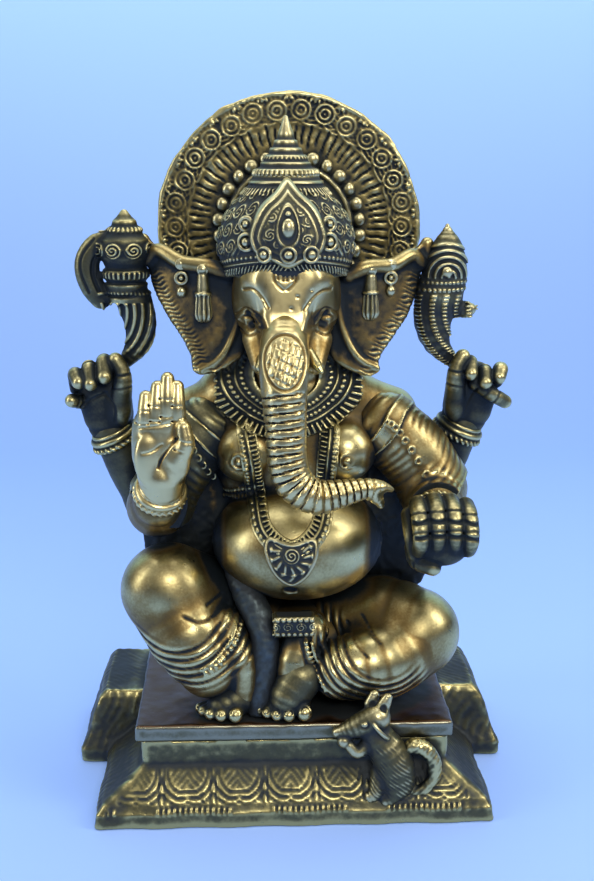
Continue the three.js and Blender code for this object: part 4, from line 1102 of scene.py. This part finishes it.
def horn_lines(x, y, z):
    across = np.hypot(x - HORN[0], z - HORN[1])
    return 0.5 * np.cos(2 * np.pi * across / 3.4) * (y < 4) * fade(z, 148, 151)


goad.press(horn_lines, (-80, -8, 146), (-54, 5, 171))

# %% Lotus bud
bud = Clay((50, -8, 140), (82, 18, 206), 0.4)
bud.tube([(69, 5, 146, 3.0), (63.5, 5, 153, 5.8), (61.5, 5, 162, 8), (63.5, 5, 173, 9.4)])
bud.tube([(64.5, 5, 175, 9.8), (66.5, 5, 184, 9.6), (67, 5, 192, 7.2), (67, 5, 198, 3.6),
          (66.8, 5, 203, 0.9)], 3)
bud.tube([(71, 5, 169, 3.8), (75, 4.6, 166.5, 3), (77.5, 4.4, 167.5, 2.7)], 1.5)
bud.ring((77.2, 2.4, 167.4), (0, -1, 0), 1.6, 0.45)
BUD_CURL = (84.0, 169.0)


def bud_relief(x, y, z):
    across = np.hypot(x - BUD_CURL[0], z - BUD_CURL[1])
    angle = np.arctan2(z - BUD_CURL[1], BUD_CURL[0] - x)
    rib = wrap(across, 5.4)
    ribs = ridge(rib, 3.4, 0.5) + comb(angle * across, rib, 1.7, 1.3, 0.55)
    stem = ribs * fade(z, 176, 174)
    arcs = 0.6 * np.cos(2 * np.pi * (np.hypot(x - 66.5, z - 182) - 3.0) / 2.7)
    arcs = arcs * fade(z, 181, 182) * fade(z, 197, 193)
    rows = bead_row(x, z - 176.6, 1.9) * 0.7 + bead_row(x, z - 179.6, 1.7) * 0.6
    return (stem + arcs + rows) * (y < 6)


bud.press(bud_relief)
bud.ball((65.8, -4.2, 184.2), (2.4, 1.8, 2.4), 0.4)

# %% [markdown]
# ## Necklaces
# The collar is a layer of clay over the chest, bounded by two rounded outlines seen from the
# front. Its rows follow the distance from the neck, so they curve with it.

# %% Collar
NECK = (-2.0, 143.0)


def collar_radius(x, z):
    return np.hypot((x - NECK[0]) * 0.74, z - NECK[1])


def collar_region(x, y, z):
    inner = np.maximum(10 - collar_radius(x, z), np.abs(x + 1) - 31)
    return np.maximum(np.maximum(collar_radius(x, z) - 26.5, inner), y + 2)


collar = drape(torso, (-42, -34, 112), (38, 8, 150), 1.5, collar_region)


def collar_rows(x, y, z):
    across = collar_radius(x, z)
    angle = np.arctan2(x - NECK[0], NECK[1] - z)
    u = angle * 22
    rows = comb(u, across - 24, 2.0, 2.2, 0.8) + bead_row(u, across - 18.3, 2.0) * 0.8
    ridges = ridge(across - 20.6, 1.4, 0.7) + ridge(across - 16.2, 1.3, 0.6)
    return rows + ridges + bead_row(u * 0.8, across - 14.2, 1.9) * 0.8


collar.press(collar_rows)

# %% Garland and pendant
GARLAND = [
    (-19.5, 120), (-17, 106), (-15.5, 92), (-12, 81), (-1, 74.5), (9.5, 81), (13.5, 92), (14.5, 106), (16, 120),
]


def strand(region_width, points, low, high, thickness):
    """A flat strand on the body, with the distance across it and along it."""
    path = through([(x, 0, z) for x, z in points], 1.0)

    def away(x, z):
        """The distance across from the strand's line, and along it."""
        best = np.full(np.broadcast(x, z).shape, 1e9)
        along = np.zeros(best.shape)
        length = 0
        for a, b in zip(path, path[1:]):
            ex, ez = b[0] - a[0], b[2] - a[2]
            share = np.clip(((x - a[0]) * ex + (z - a[2]) * ez) / (ex * ex + ez * ez), 0, 1)
            distance = np.hypot(x - a[0] - share * ex, z - a[2] - share * ez)
            side = np.sign(ex * (z - a[2]) - ez * (x - a[0]))
            closer = distance < np.abs(best)
            best = np.where(closer, distance * side, best)
            along = np.where(closer, length + share * math.hypot(ex, ez), along)
            length += math.hypot(ex, ez)
        return best, along

    def region(x, y, z):
        return np.maximum(np.abs(away(x, z)[0]) - region_width, y + 1)

    clay = drape(torso, low, high, thickness, region, 0.4)
    _, (x, y, z) = clay.everywhere()
    across, along = away(x[:, 0, :], z[0])
    return clay, across[:, None, :], along[:, None, :]


garland, across, along = strand(4.2, GARLAND, (-26, -48, 64), (22, -8, 126), 1.3)
rows = comb(along, across - 2.2, 1.9, 1.5, 0.75) + ridge(across, 1.2, 0.7) + bead_row(along, across + 2.3, 1.9) * 0.8
garland.press(lambda x, y, z: rows)

PENDANT = (-1.2, 70.5)
PENDANT_RIM = [
    (10, 76), (7.5, 80), (-1, 78), (-10, 80), (-12.5, 76), (-11, 69), (-7, 62.5), (-1.2, 59), (4.6, 62.5), (8.5, 69),
]
pendant_edge = closed(PENDANT_RIM, 1.0)
within = lambda x, y, z: outline_distance(x, z, pendant_edge)
jewel = drape(torso, (-16, -50, 53), (14, -26, 82), 2.0, within, 0.35)


def shell(x, y, z):
    edge = outline_distance(x[:, 0, :], z[0], pendant_edge)[:, None, :]
    reach = np.hypot(x - PENDANT[0], z - 73)
    turn = np.arctan2(x - PENDANT[0], 73 - z)
    rays = 0.45 * np.cos(turn * 13 + 1.5 * np.sin(reach * 0.6))
    rays = rays * fade(reach, 4.4, 5.4) * fade(edge, -1.6, -2.4)
    rings = ridge(edge + 0.9, 1.6, 0.7) + 0.6 * ridge(reach - 8.6, 1.2, 0.7)
    return rays + rings + rosette(x - PENDANT[0], z - 73, 3.6, 0.8)


jewel.press(shell)

# %% [markdown]
# ## Belt buckle and hanging cloth
# The buckle is a rounded block studded with jewels, and a rough strip of cloth hangs below it.

# %% Buckle and cloth
buckle = Clay((-13, -46, 31), (13, -30, 51), 0.35)
view, (x, y, z) = buckle.everywhere()
tilt = y + 0.25 * (z - 41)
block = np.maximum(np.maximum(np.abs(x) - 8.2, np.abs(z - 41) - 4.8), np.abs(tilt + 38.2) - 3.6)
buckle.distance[view] = block.astype(np.float32)


def studs(x, y, z):
    return 0.9 * bead_row(x + 1, np.abs(z - 41) - 3.4, 2.2) + rosette(wrap(x, 5.4), z - 41, 2.6, 0.7)


buckle.press(studs)
sash = Clay((-46, -52, -1), (2, -12, 84), 0.5)
SASH = [
    (-27, -17, 61, 3.5), (-22, -23, 53, 5.5), (-17, -27, 45, 6.5), (-12.5, -32.5, 34, 6), (-13, -35, 20, 6),
    (-14.5, -37, 8, 5.6), (-15, -38, 2, 5.2),
]
sash.tube(SASH, flat=(1, 0.8, 1))
sash.press(lambda x, y, z: rough_cast(x, y, z, 0.2, 3.0))
sash.stand()

# %% [markdown]
# ## Shawls
# A cloth is wound round each upper arm. Folds run aslant, and a bordered band with punched rings
# follows them.

# %% Shawls
def shawl(arm, low, high, start, way, region):
    """Cloth round an arm, with folds across the given way from the start."""
    clay = drape(arm, low, high, 2.0, region, 0.5)
    way = np.array(way, float) / np.linalg.norm(way)

    def folds(x, y, z):
        along = (x - start[0]) * way[0] + (y - start[1]) * way[1] + (z - start[2]) * way[2]
        along = along + 1.2 * np.sin(0.16 * (z + y) + 0.05 * x)
        waves = np.abs(np.sin(np.pi * along / 3.4)) ** 0.5
        band = np.abs(along - 9) < 3.4
        quiet = fade(lumps(x, y, z, 9.0), -0.35, 0.4)
        return np.where(band, 0.5 + ridge(np.abs(along - 9) - 3, 1.2, 0.5), 0.55 * quiet * (waves - 0.8))

    clay.press(folds)
    return clay


left_shawl = shawl(
    arms["front_left"], (26, -24, 82), (80, 16, 136), (34, -8, 126), (0.75, 0.0, -0.66),
    lambda x, y, z: np.maximum(0.75 * (x - 62) - (z - 92) * 1.0 - 5, 30 - x) + 0 * y,
)
for i in range(8):
    x, z = 36.5 + 1.2 * i + 0.16 * i * i, 124.5 - 0.2 * i - 0.42 * i * i
    spot = left_shawl.touch([(x + 4, -40, z - 2)])[0]
    left_shawl.ring(spot, (0.2, -1, 0.1), 1.35, 0.5)
right_shawl = shawl(
    arms["front_right"], (-74, -26, 80), (-22, 14, 134), (-30, -8, 122), (-0.7, 0.0, -0.7),
    lambda x, y, z: np.maximum(-(x + 26) * 0.2 - 6.5 - (z - 86) * 0.2, x + 28) + 0 * y,
)
for i in range(6):
    spot = right_shawl.touch([(-41.5 + 1.9 * i, -40, 112 - 3.4 * i)])[0]
    right_shawl.ring(spot, (-0.2, -1, 0), 1.35, 0.5)

# %% [markdown]
# ## Plinth
# The plinth is open underneath. Its front slope carries lotus petals drawn with double lines over
# a row of short strokes, and the side steps are roughly chiselled.

# %% Plinth form
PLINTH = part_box("plinth")
plinth_top = PLINTH[1][2] / MM
plinth_back = PLINTH[1][1] / MM


def frustum(x, y, z, levels, middle=0.0):
    """The distance to a stack of rectangles, from [half width, half depth, height] levels."""
    heights = [level[2] for level in levels]
    wide = np.interp(z, heights, [level[0] for level in levels])
    deep = np.interp(z, heights, [level[1] for level in levels])
    side = soft_min(wide - np.abs(x), deep - np.abs(y - middle), 3.0)
    return np.maximum(np.maximum(-side * 0.85, z - heights[-1]), heights[0] - z)


def rough(x, y, z):
    return 0.3 * np.sin(0.21 * x + 1) + 0.25 * np.sin(0.17 * y + 0.3 * z) + rough_cast(x, y, z, 0.12, 3.0)


MAIN = [
    (84, 59, 0), (83.6, 58.8, 6), (81, 56.8, 9.5), (66.5, 47, 21), (65, 45.8, 22.5), (64.6, 45.5, plinth_top),
]
WING = [(97, 30, 0), (96.8, 30, 6), (94.5, 28.5, 11), (88, 25, 30), (85, 23.5, plinth_top)]
plinth = Clay((-100, -62, -1), (100, 62, plinth_top + 1.5), 0.7)
view, (x, y, z) = plinth.everywhere()
outside = soft_min(frustum(x, y, z, MAIN), frustum(x, y, z, WING, plinth_back - 30), 1.5)
inner_main = [(80, 55, -4), (79.6, 54.8, 4), (61, 41.7, 18), (60.6, 41.5, plinth_top - 4)]
inner_wing = [(93, 26, -4), (92.6, 26, 4), (84, 21, plinth_top - 4)]
inside = np.minimum(frustum(x, y, z, inner_main), frustum(x, y, z, inner_wing, plinth_back - 30))
plinth.distance[view] = np.maximum(outside, -inside)
plinth.press(rough)
plinth.stand(0)

# %% Petals and strokes on the plinth
PETAL = 21.6


def petals(x, y, z):
    side = np.abs(x) - 84 + (z - 6) * 1.2
    v = (z - 9.0) / 12.0
    u = wrap(x + 13, PETAL)
    lobe = np.hypot(u * 1.12, (v - 0.95) * 15.5)
    heart = lobe + 1.8 * np.exp(-(u / 2.2) ** 2) * fade(v, 0.55, 0.2)
    lines = ridge(heart - 12.4, 1.4, 0.7) + ridge(heart - 9.6, 1.3, 0.6) + ridge(heart - 15.2, 1.3, 0.6)
    hatch = np.maximum(np.sin(2.1 * x + 2.4 * z * np.sign(u) + 1.5 * lumps(x, y, z, 5.0)), 0)
    hatch = 0.35 * hatch * fade(heart, 8.2, 7.4)
    strips = ridge(np.abs(u) - 9.6, 1.2, 0.6)
    teeth = comb(x, z - 7.2, 2.3, 1.4, 0.8) * (np.sin(x * 0.13 + 0.8) > -0.45)
    zone = fade(v, 0.02, 0.1) * fade(v, 1.02, 0.94) * fade(side, -3, -6)
    return (0.35 - (lines + hatch + strips)) * zone * (y < -44) + (teeth * fade(side, -3, -6)) * (y < -44)


plinth.press(petals, (-86, -62, 4), (86, -44, 22.5))


def chisel(x, y, z):
    bend = 1.4 * lumps(x, y, z, 11.0)
    strokes = np.sin(2 * np.pi * (0.62 * y - 0.4 * z + 0.5 * x + bend) / 2.4)
    strokes = strokes * fade(lumps(x + 9, y, z, 6.0), -0.5, 0.3)
    return (0.16 * strokes + rough_cast(x, y, z, 0.1, 2.6)) * fade(np.abs(x), 67, 70)


plinth.press(chisel, (-100, -62, 5), (100, 62, plinth_top + 1.5))

# %% Seat
slab_low, slab_high = [np.array(c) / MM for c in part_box("seat_slab")]
seat = Clay(slab_low - (2, 2, 1), slab_high + (2, 2, 1.5), 0.9)
view, (x, y, z) = seat.everywhere()
middle, half = (slab_low + slab_high) / 2, (slab_high - slab_low) / 2
box_sides = [np.abs(c - m) - h for c, m, h in zip((x, y, z), middle, half)]
corner = -soft_min(-np.maximum(box_sides[0], box_sides[1]), -box_sides[2], 1.6)
seat.distance[view] = corner
seat.press(lambda x, y, z: rough_cast(x, y, z, 0.3, 7.0))

# %% [markdown]
# ## Mouse
# The mouse climbs the front slope, holding a sweet to its mouth. Fur is a wavy hatch.

# %% Mouse
mouse = Clay((12, -62, 4), (58, -40, 60), 0.4)
mouse.tube([(33, -50, 38, 6.2), (38, -51, 31, 7.6), (42, -52, 23, 8.4), (43, -52, 16, 7.6)])
mouse.tube([(34, -51, 45, 6), (26, -51.5, 41.5, 4.8), (20, -51.5, 39.3, 3.1), (17.5, -51.5, 38.8, 2.2)], 1.5)
mouse.tube([(44, -53, 18, 5.6), (41, -55, 11.5, 3.8), (38, -55.5, 9.5, 3)], 1.5)
mouse.tube([(36, -52, 20, 4.4), (34, -55, 13, 3.4), (31.5, -55.5, 11, 2.6)], 1.2)
mouse.tube([(32, -51, 34, 3.6), (26, -54, 31, 2.7), (22.5, -54, 34, 2.3)], 0.8)
mouse.ball((20.5, -53, 35.6), (3.1, 3, 3.1), 0.4)
for a, b in (((36.5, -51, 49.5), (38.5, -50.5, 53.5)), ((32, -48.5, 50), (33.2, -48, 53.8))):
    mouse.tube([(*a, 3.1), (*b, 2.1)], 0.8, flat=(1, 0.7, 1))
    mouse.ball(np.array(a) + (0.2, -2.4, 0.8), (1.7, 1.2, 2.1), 0.4, carve=True)
eye = mouse.touch([(28.5, -70, 44.5)])[0]
mouse.ball(eye, (1.5, 0.9, 1.1), 0.2)
mouse.ring(eye, (0, -1, 0), 1.7, 0.3, 0.2, carve=True)
mouse.ring((35, -50.5, 41.5), (-0.75, 0, -0.65), 7.2, 0.9)


def fur(x, y, z):
    hairs = 0.15 * np.sin(2.6 * x + 3.1 * z + 3.0 * lumps(x, y, z, 5.0))
    return hairs * fade(z, 42, 38) * fade(lumps(x + 7, y, z, 3.0), -0.3, 0.2)


mouse.press(fur, (28, -62, 12), (58, -40, 42))
tail = Clay((44, -62, 6), (66, -40, 42), 0.4)
TAIL = [
    (46, -52, 13, 2.9), (53, -53, 12, 2.8), (58, -53, 17, 2.8), (58.5, -52.5, 24, 3.1), (55, -52, 30, 3.4),
    (50, -51.5, 32, 3.4), (46.5, -51.5, 29.5, 2.6),
]
tail.tube(TAIL)
tail.press(lambda x, y, z: 0.08 * np.sin(2.4 * x - 2.1 * z) + rough_cast(x, y, z, 0.2))

# %% [markdown]
# ## Casting the sections
# Each block of clay becomes one piece, which stands for the CAD section of the same name.

# %% Cast everything
for name, clay in {
    "torso": torso, "right_leg": right_leg, "left_leg": left_leg, "right_foot": right_foot, "left_foot": left_foot,
    "right_shawl": right_shawl, "left_shawl": left_shawl, "right_ear": ears["right_ear"], "left_ear": ears["left_ear"],
    "halo_disc": halo,
}.items():
    cast(clay, name + "_cast", [name])
for side in ARMS:
    cast(arms[side], side + "_arm_cast", [side + "_arm"])
    cast(bangles[side], side + "_bangle_cast", [side + "_bangle"])
for side, clay in (("front_left", offering), ("rear_right", grip_right), ("rear_left", grip_left)):
    cast(clay, side + "_hand_cast", [side + "_hand"])
cast(blessing, "front_right_hand_cast", ["front_right_hand"])
cast(head, "head_cast", ["head"])
cast(trunk, "trunk_cast", ["trunk"])
for name, clay in tusks.items():
    cast(clay, name + "_cast", [name])
for name, clay in {
    **pendants, "crown_dome": crown, "crown_plaque": plaque, "crown_spire": spire, "halo_boss": boss, "goad": goad,
    "lotus_bud": bud, "collar": collar, "garland": garland, "garland_pendant": jewel, "belt_buckle": buckle,
    "waist_sash": sash,
}.items():
    cast(clay, name + "_cast", [name])
cast(plinth, "plinth_cast", ["plinth"], 0)
cast(seat, "seat_cast", ["seat_slab"], 0)
cast(mouse, "mouse_cast", ["mouse"], 0)
cast(tail, "mouse_tail_cast", ["mouse_tail"], 0)
print(sum(len(piece.data.polygons) for piece, _, _ in made), "faces in", len(made), "pieces")

# %% [markdown]
# ## Shelter: patina and painted shade
# Patina also survives where no polishing cloth reaches: between an arm and the ribs, or behind the
# head. The same value also paints shade into the colour wherever metal closes round a spot, as a
# baked occlusion. All the clay together is dropped into one coarse grid and blurred, and each
# vertex keeps how much metal surrounds the air just over it.

# %% Shelter (patina and painted shade) at every vertex
COARSE = 1.5       # mm between the coarse grid's points
ABOVE = 4.5        # shelter is looked up this far over the surface
OPEN_AIR = 0.12    # the share of metal around a spot that shelters nothing


def painted_shade_zones(name, x, z):
    """Painted shade added to the shelter value: by the eyes, on the receding cheeks, in the rough metal between the
    arms and the body, and on the plinth's side slopes.
    """
    if name == "torso_cast":
        return 1.2 * beside_body(x, z)
    if name == "plinth_cast":
        return 0.5 * fade(np.abs(x), 68, 76)
    if name == "head_cast":
        sockets = [fade(np.hypot((x - middle) / 1.5, z - 167), 4.8, 2.8) for middle in (-18.2, 14.6)]
        cheeks = 0.7 * fade(np.abs(x + 2.2), 11, 15) * fade(z, 167, 159)
        return np.maximum(np.maximum(*sockets), cheeks)
    return 0 * x


low = np.array([-105.0, -70, -5])
room = np.zeros(np.ceil((np.array([105.0, 70, 310]) - low) / COARSE).astype(int), np.float32)
for _, clay, rise in made:
    stride = max(1, round(COARSE / clay.fineness / 2))
    solid = np.argwhere(clay.distance[::stride, ::stride, ::stride] < 0)
    places = clay.low + (0, 0, rise) + solid * stride * clay.fineness
    spot = ((places - low) / COARSE).astype(int)
    spot = spot[np.all((spot >= 0) & (spot < room.shape), axis=1)]
    room[spot[:, 0], spot[:, 1], spot[:, 2]] = 1
around = Clay(low, low, COARSE)
around.distance = blurred(blurred(room, 2), 3)
for piece, _, _ in made:
    count = len(piece.data.vertices)
    places, normals = np.empty(3 * count, np.float32), np.empty(3 * count, np.float32)
    piece.data.vertices.foreach_get("co", places)
    piece.data.vertex_normals.foreach_get("vector", normals)
    above = places.reshape(-1, 3) / MM + ABOVE * normals.reshape(-1, 3)
    # Patina, and also painted shade: the more metal round the air over a spot, the darker its colour, as a baked
    # occlusion.
    patina_and_shade = np.clip((around.sample(above) - OPEN_AIR) / 0.5, 0, 1).astype(np.float32)
    # Painted shade at the eyes, the cheeks, the metal beside the body and the plinth's side slopes.
    patina_and_shade = np.maximum(patina_and_shade, painted_shade_zones(piece.name, above[:, 0], above[:, 2] - SEAT).astype(np.float32))
    piece.data.attributes.new("patina_and_shade", "FLOAT", "POINT").data.foreach_set("value", patina_and_shade)

# %% [markdown]
# ## Shader maths in Python
# A socket is wrapped so that ordinary expressions add the Math nodes.

# %% The socket wrapper
class Value:
    def __init__(self, finish, socket):
        self.finish = finish
        self.socket = socket

    def maths(self, operation, other, swapped=False):
        pair = (other, self) if swapped else (self, other)
        return self.finish.node("ShaderNodeMath", {"operation": operation}, {0: pair[0], 1: pair[1]})

    def __add__(self, other):
        return self.maths("ADD", other)

    def __sub__(self, other):
        return self.maths("SUBTRACT", other)

    def __rsub__(self, other):
        return self.maths("SUBTRACT", other, True)

    def __mul__(self, other):
        return self.maths("MULTIPLY", other)

    __radd__ = __add__

    def clamped(self):
        return self.finish.node("ShaderNodeClamp", {}, {0: self})

    def ramp(self, low, high):
        """0 at low, 1 at high, smooth between."""
        settings = {"interpolation_type": "SMOOTHSTEP"}
        return self.finish.node("ShaderNodeMapRange", settings, {0: self, 1: low, 2: high, 3: 0.0, 4: 1.0})


class Finish:
    def __init__(self, owner):
        self.owner = owner
        owner.use_nodes = True
        self.tree = owner.node_tree
        self.tree.nodes.clear()

    def node(self, kind, settings=None, inputs=None, output=0):
        made_node = self.tree.nodes.new(kind)
        for key, value in (settings or {}).items():
            setattr(made_node, key, value)
        for key, value in (inputs or {}).items():
            if isinstance(value, Value):
                self.tree.links.new(value.socket, made_node.inputs[key])
            else:
                made_node.inputs[key].default_value = value
        return Value(self, made_node.outputs[output]) if made_node.outputs else None

    def mix(self, factor, a, b):
        return self.node("ShaderNodeMix", {"data_type": "RGBA"}, {0: factor, 6: a, 7: b}, 2)


# %% [markdown]
# ## Antique brass
# Polished brass is pale gold. In the folds it keeps a brown film, and in the deepest hollows a
# blue-black one, which is rougher and no longer a mirror. The three tones are mixed by how proud
# and how sheltered each spot is, with noise so that no edge is even. Shelter is patina and also
# painted shade where metal closes round a spot, and each finish adds an offset: its polish, lowered
# to paint shade on the shaded and dark finishes.

# %% Brass finishes
def brass(name, high, middle, deep, polish_and_shade, grain=1.0, gloss=0.24, top=None):
    finish = Finish(bpy.data.materials.new(name))
    spot = finish.node("ShaderNodeTexCoord", output=3)
    proud = finish.node("ShaderNodeAttribute", {"attribute_name": "proud"}, output=2)
    patina_and_shade = finish.node("ShaderNodeAttribute", {"attribute_name": "patina_and_shade"}, output=2)
    cloud = finish.node("ShaderNodeTexNoise", {}, {"Vector": spot, "Scale": 70.0, "Detail": 5.0})
    speck = finish.node("ShaderNodeTexNoise", {}, {"Vector": spot, "Scale": 900.0, "Detail": 3.0})
    brushed = finish.node("ShaderNodeTexNoise", {}, {"Vector": spot, "Scale": 320.0, "Detail": 5.0})
    # Ridges, noise and polish are real wear and patina; the shelter term and the lowered offsets of the shaded and
    # dark finishes paint shade.
    wear_and_shade = proud * 1.4 + (cloud - 0.5) * 0.9 + (speck - 0.5) * 0.4 - patina_and_shade * 1.5 + polish_and_shade
    shine = wear_and_shade.ramp(-0.1, 0.65)
    film = wear_and_shade.ramp(-0.85, 0.1)
    # Upward-facing surfaces take the top colours; on the seat that is a red-brown tone.
    if top:
        facing = finish.node("ShaderNodeNewGeometry", output=1)
        upward = finish.node("ShaderNodeSeparateXYZ", {}, {0: facing}, 2).ramp(0.5, 0.9)
        middle = finish.mix(upward, middle, top)
        high = finish.mix(upward, high, top)
    tone = finish.mix(film, deep, middle)
    tone = finish.mix(shine, tone, high)
    pits = finish.node("ShaderNodeTexVoronoi", {}, {"Vector": spot, "Scale": 650.0})
    hollow = pits.ramp(0.05, 0.3)
    height = brushed * 0.3 + speck * 0.3 + hollow * 0.4
    rough = 0.6 - film * 0.16 - shine * (0.44 - gloss) + (brushed - 0.5) * 0.18
    bump = finish.node("ShaderNodeBump", {}, {"Strength": 0.3 * grain, "Distance": 0.4 * MM, "Height": height})
    surface = finish.node("ShaderNodeBsdfPrincipled", {}, {
        "Base Color": tone, "Metallic": 0.5 + film * 0.5, "Roughness": rough.clamped(), "Normal": bump,
    })
    finish.node("ShaderNodeOutputMaterial", {}, {"Surface": surface})
    return finish.owner


GOLD, AMBER, NIGHT = (0.62, 0.53, 0.25, 1), (0.24, 0.16, 0.055, 1), (0.011, 0.016, 0.018, 1)
OLIVE, RED_BROWN = (0.13, 0.12, 0.065, 1), (0.12, 0.065, 0.035, 1)
STEEL, SLATE = (0.3, 0.28, 0.19, 1), (0.03, 0.035, 0.036, 1)
# The shaded and dark finishes are this brass with lower offsets, painted shade: the shaded one on the rear arms, where
# it is the default, the dark one on the rear hands, the goad and the fist round the sweet.
finishes = {
    "bright": brass("bright_brass", (0.72, 0.59, 0.28, 1), (0.3, 0.19, 0.055, 1), NIGHT, 0.85, 0.15, 0.31),
    "belly": brass("belly_brass", GOLD, AMBER, NIGHT, 0.5, 0.9, 0.3),
    "worn": brass("worn_brass", GOLD, AMBER, NIGHT, 0.08, 0.8, 0.28),
    "shaded": brass("shaded_brass", GOLD, OLIVE, NIGHT, -0.15, 0.9, 0.3),
    "chased": brass("chased_brass", (0.64, 0.56, 0.3, 1), OLIVE, SLATE, -0.3, 1.0, 0.34),
    "dark": brass("dark_brass", GOLD, OLIVE, NIGHT, -0.55, 1.0, 0.34),
    "night": brass("sash_patina_and_shade_brass", (0.2, 0.21, 0.18, 1), (0.09, 0.11, 0.11, 1), SLATE, -0.2, 1.0, 0.4),
    "halo": brass("halo_brass", GOLD, (0.25, 0.195, 0.075, 1), NIGHT, 0.0, 1.0, 0.32),
    "ear": brass("ear_brass", (0.52, 0.43, 0.19, 1), AMBER, NIGHT, -0.2, 0.9, 0.3),
    "plinth": brass("plinth_brass", (0.5, 0.42, 0.18, 1), OLIVE, SLATE, 0.0, 0.9, 0.3),
    "seat": brass("seat_brass", STEEL, OLIVE, SLATE, 0.25, 0.8, 0.3, RED_BROWN),
}
worn_by = {
    "bright": ("front_right_hand", "front_right_bangle", "head", "trunk"),
    "belly": ("torso",),
    "worn": ("right_leg", "left_leg", "front_right_arm", "front_left_arm", "left_shawl", "right_tusk",
             "left_tusk"),
    "chased": ("crown_dome", "crown_plaque", "garland_pendant", "lotus_bud", "belt_buckle", "mouse",
               "right_ear_pendants", "left_ear_pendants", "crown_spire", "halo_boss"),
    "dark": ("front_left_hand", "rear_right_hand", "rear_left_hand", "goad"),
    "halo": ("halo_disc",),
    "ear": ("right_ear", "left_ear"),
    "plinth": ("plinth",),
    "seat": ("seat",),
    # The sash's near-black finish is patina and also painted shade of the recess it lies in.
    "night": ("waist_sash",),
}
finish_of = {piece: finish for finish, pieces in worn_by.items() for piece in pieces}
for piece, _, _ in made:
    piece.data.materials.append(finishes[finish_of.get(piece.name.replace("_cast", ""), "shaded")])
for name in ("halo_lug", "halo_rivet"):
    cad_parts[name].material_slots[0].material = finishes["shaded"]

# %% [markdown]
# ## Studio
# Metal shows what is around it, so the room matters more than the lamps: a pale blue sweep, two
# broad soft boxes and a darker side behind the camera. The sweep also glows with painted light,
# near black at the floor and brighter with height.

# %% Sweep, lights and camera
COVE = 0.4    # m, the radius where the floor turns up into the wall
cove = [(0.55 + COVE * math.sin(a), COVE - COVE * math.cos(a)) for a in np.linspace(0.1, math.pi / 2, 12)]
sweep_profile = [(-1.6, 0), (0.55, 0), *cove, (0.95, 2.2)]
corners = [(x, y, z - 0.0002) for y, z in sweep_profile for x in (-2.2, 2.2)]
faces = [(2 * i, 2 * i + 1, 2 * i + 3, 2 * i + 2) for i in range(len(sweep_profile) - 1)]
sweep_mesh = bpy.data.meshes.new("sweep")
sweep_mesh.from_pydata(corners, [], faces)
sweep_mesh.shade_smooth()
sweep = bpy.data.objects.new("sweep", sweep_mesh)
bpy.context.scene.collection.objects.link(sweep)
paper = Finish(bpy.data.materials.new("paper"))
height_over_floor = paper.node("ShaderNodeSeparateXYZ", {}, {0: paper.node("ShaderNodeNewGeometry")}, 2)
# Painted light: the sweep glows, near black at the floor and brighter with height, standing in for the light that
# falls on it.
painted_glow = paper.mix(height_over_floor.ramp(-0.1, 0.9), (0.03, 0.05, 0.1, 1), (0.42, 0.66, 0.66, 1))
paper_surface = paper.node("ShaderNodeBsdfPrincipled", {}, {
    "Base Color": (0.33, 0.5, 0.97, 1), "Roughness": 0.9, "Emission Color": painted_glow, "Emission Strength": 1.0,
})
paper.node("ShaderNodeOutputMaterial", {}, {"Surface": paper_surface})
sweep_mesh.materials.append(paper.owner)

world = bpy.data.worlds.new("room")
bpy.context.scene.world = world
room_finish = Finish(world)
direction = room_finish.node("ShaderNodeTexCoord")
upward = room_finish.node("ShaderNodeSeparateXYZ", {}, {0: direction}, 2)
walls = room_finish.mix(upward.ramp(0.0, 0.75), (0.05, 0.045, 0.04, 1), (1.0, 1.03, 1.1, 1))
background = room_finish.node("ShaderNodeBackground", {}, {"Color": walls, "Strength": 0.36})
room_finish.node("ShaderNodeOutputWorld", {}, {"Surface": background})
bpy.context.scene.view_settings.view_transform = "Standard"


def soft_box(name, place, target, size, watts, colour):
    light = bpy.data.lights.new(name, "AREA")
    light.shape = "RECTANGLE"
    light.size, light.size_y = size
    light.energy = watts
    light.color = colour
    lamp = bpy.data.objects.new(name, light)
    lamp.location = place
    lamp.rotation_euler = (Vector(target) - Vector(place)).to_track_quat("-Z", "Y").to_euler()
    bpy.context.scene.collection.objects.link(lamp)


soft_box("window", (0.18, -0.95, 0.72), (0, 0, 0.17), (0.42, 0.28), 4.2, (1, 0.99, 0.95))
soft_box("key", (0.75, -0.3, 0.7), (0, 0, 0.15), (0.35, 0.6), 3.4, (1, 0.98, 0.94))
soft_box("strip", (-0.8, -0.25, 0.45), (0, 0, 0.15), (0.16, 0.7), 2.2, (0.92, 0.96, 1))
soft_box("top", (0, 0.1, 1.1), (0, 0, 0.15), (1.0, 0.5), 4.6, (0.95, 0.97, 1))

camera = bpy.data.cameras.new("camera")
camera.lens = 50
camera.sensor_width = 36
viewer = bpy.data.objects.new("camera", camera)
viewer.location = Vector((-18.0, -517.4, 281.0)) * MM
viewer.rotation_euler = Vector((0.0389, 0.9695, -0.2419)).to_track_quat("-Z", "Y").to_euler()
bpy.context.scene.collection.objects.link(viewer)
bpy.context.scene.camera = viewer
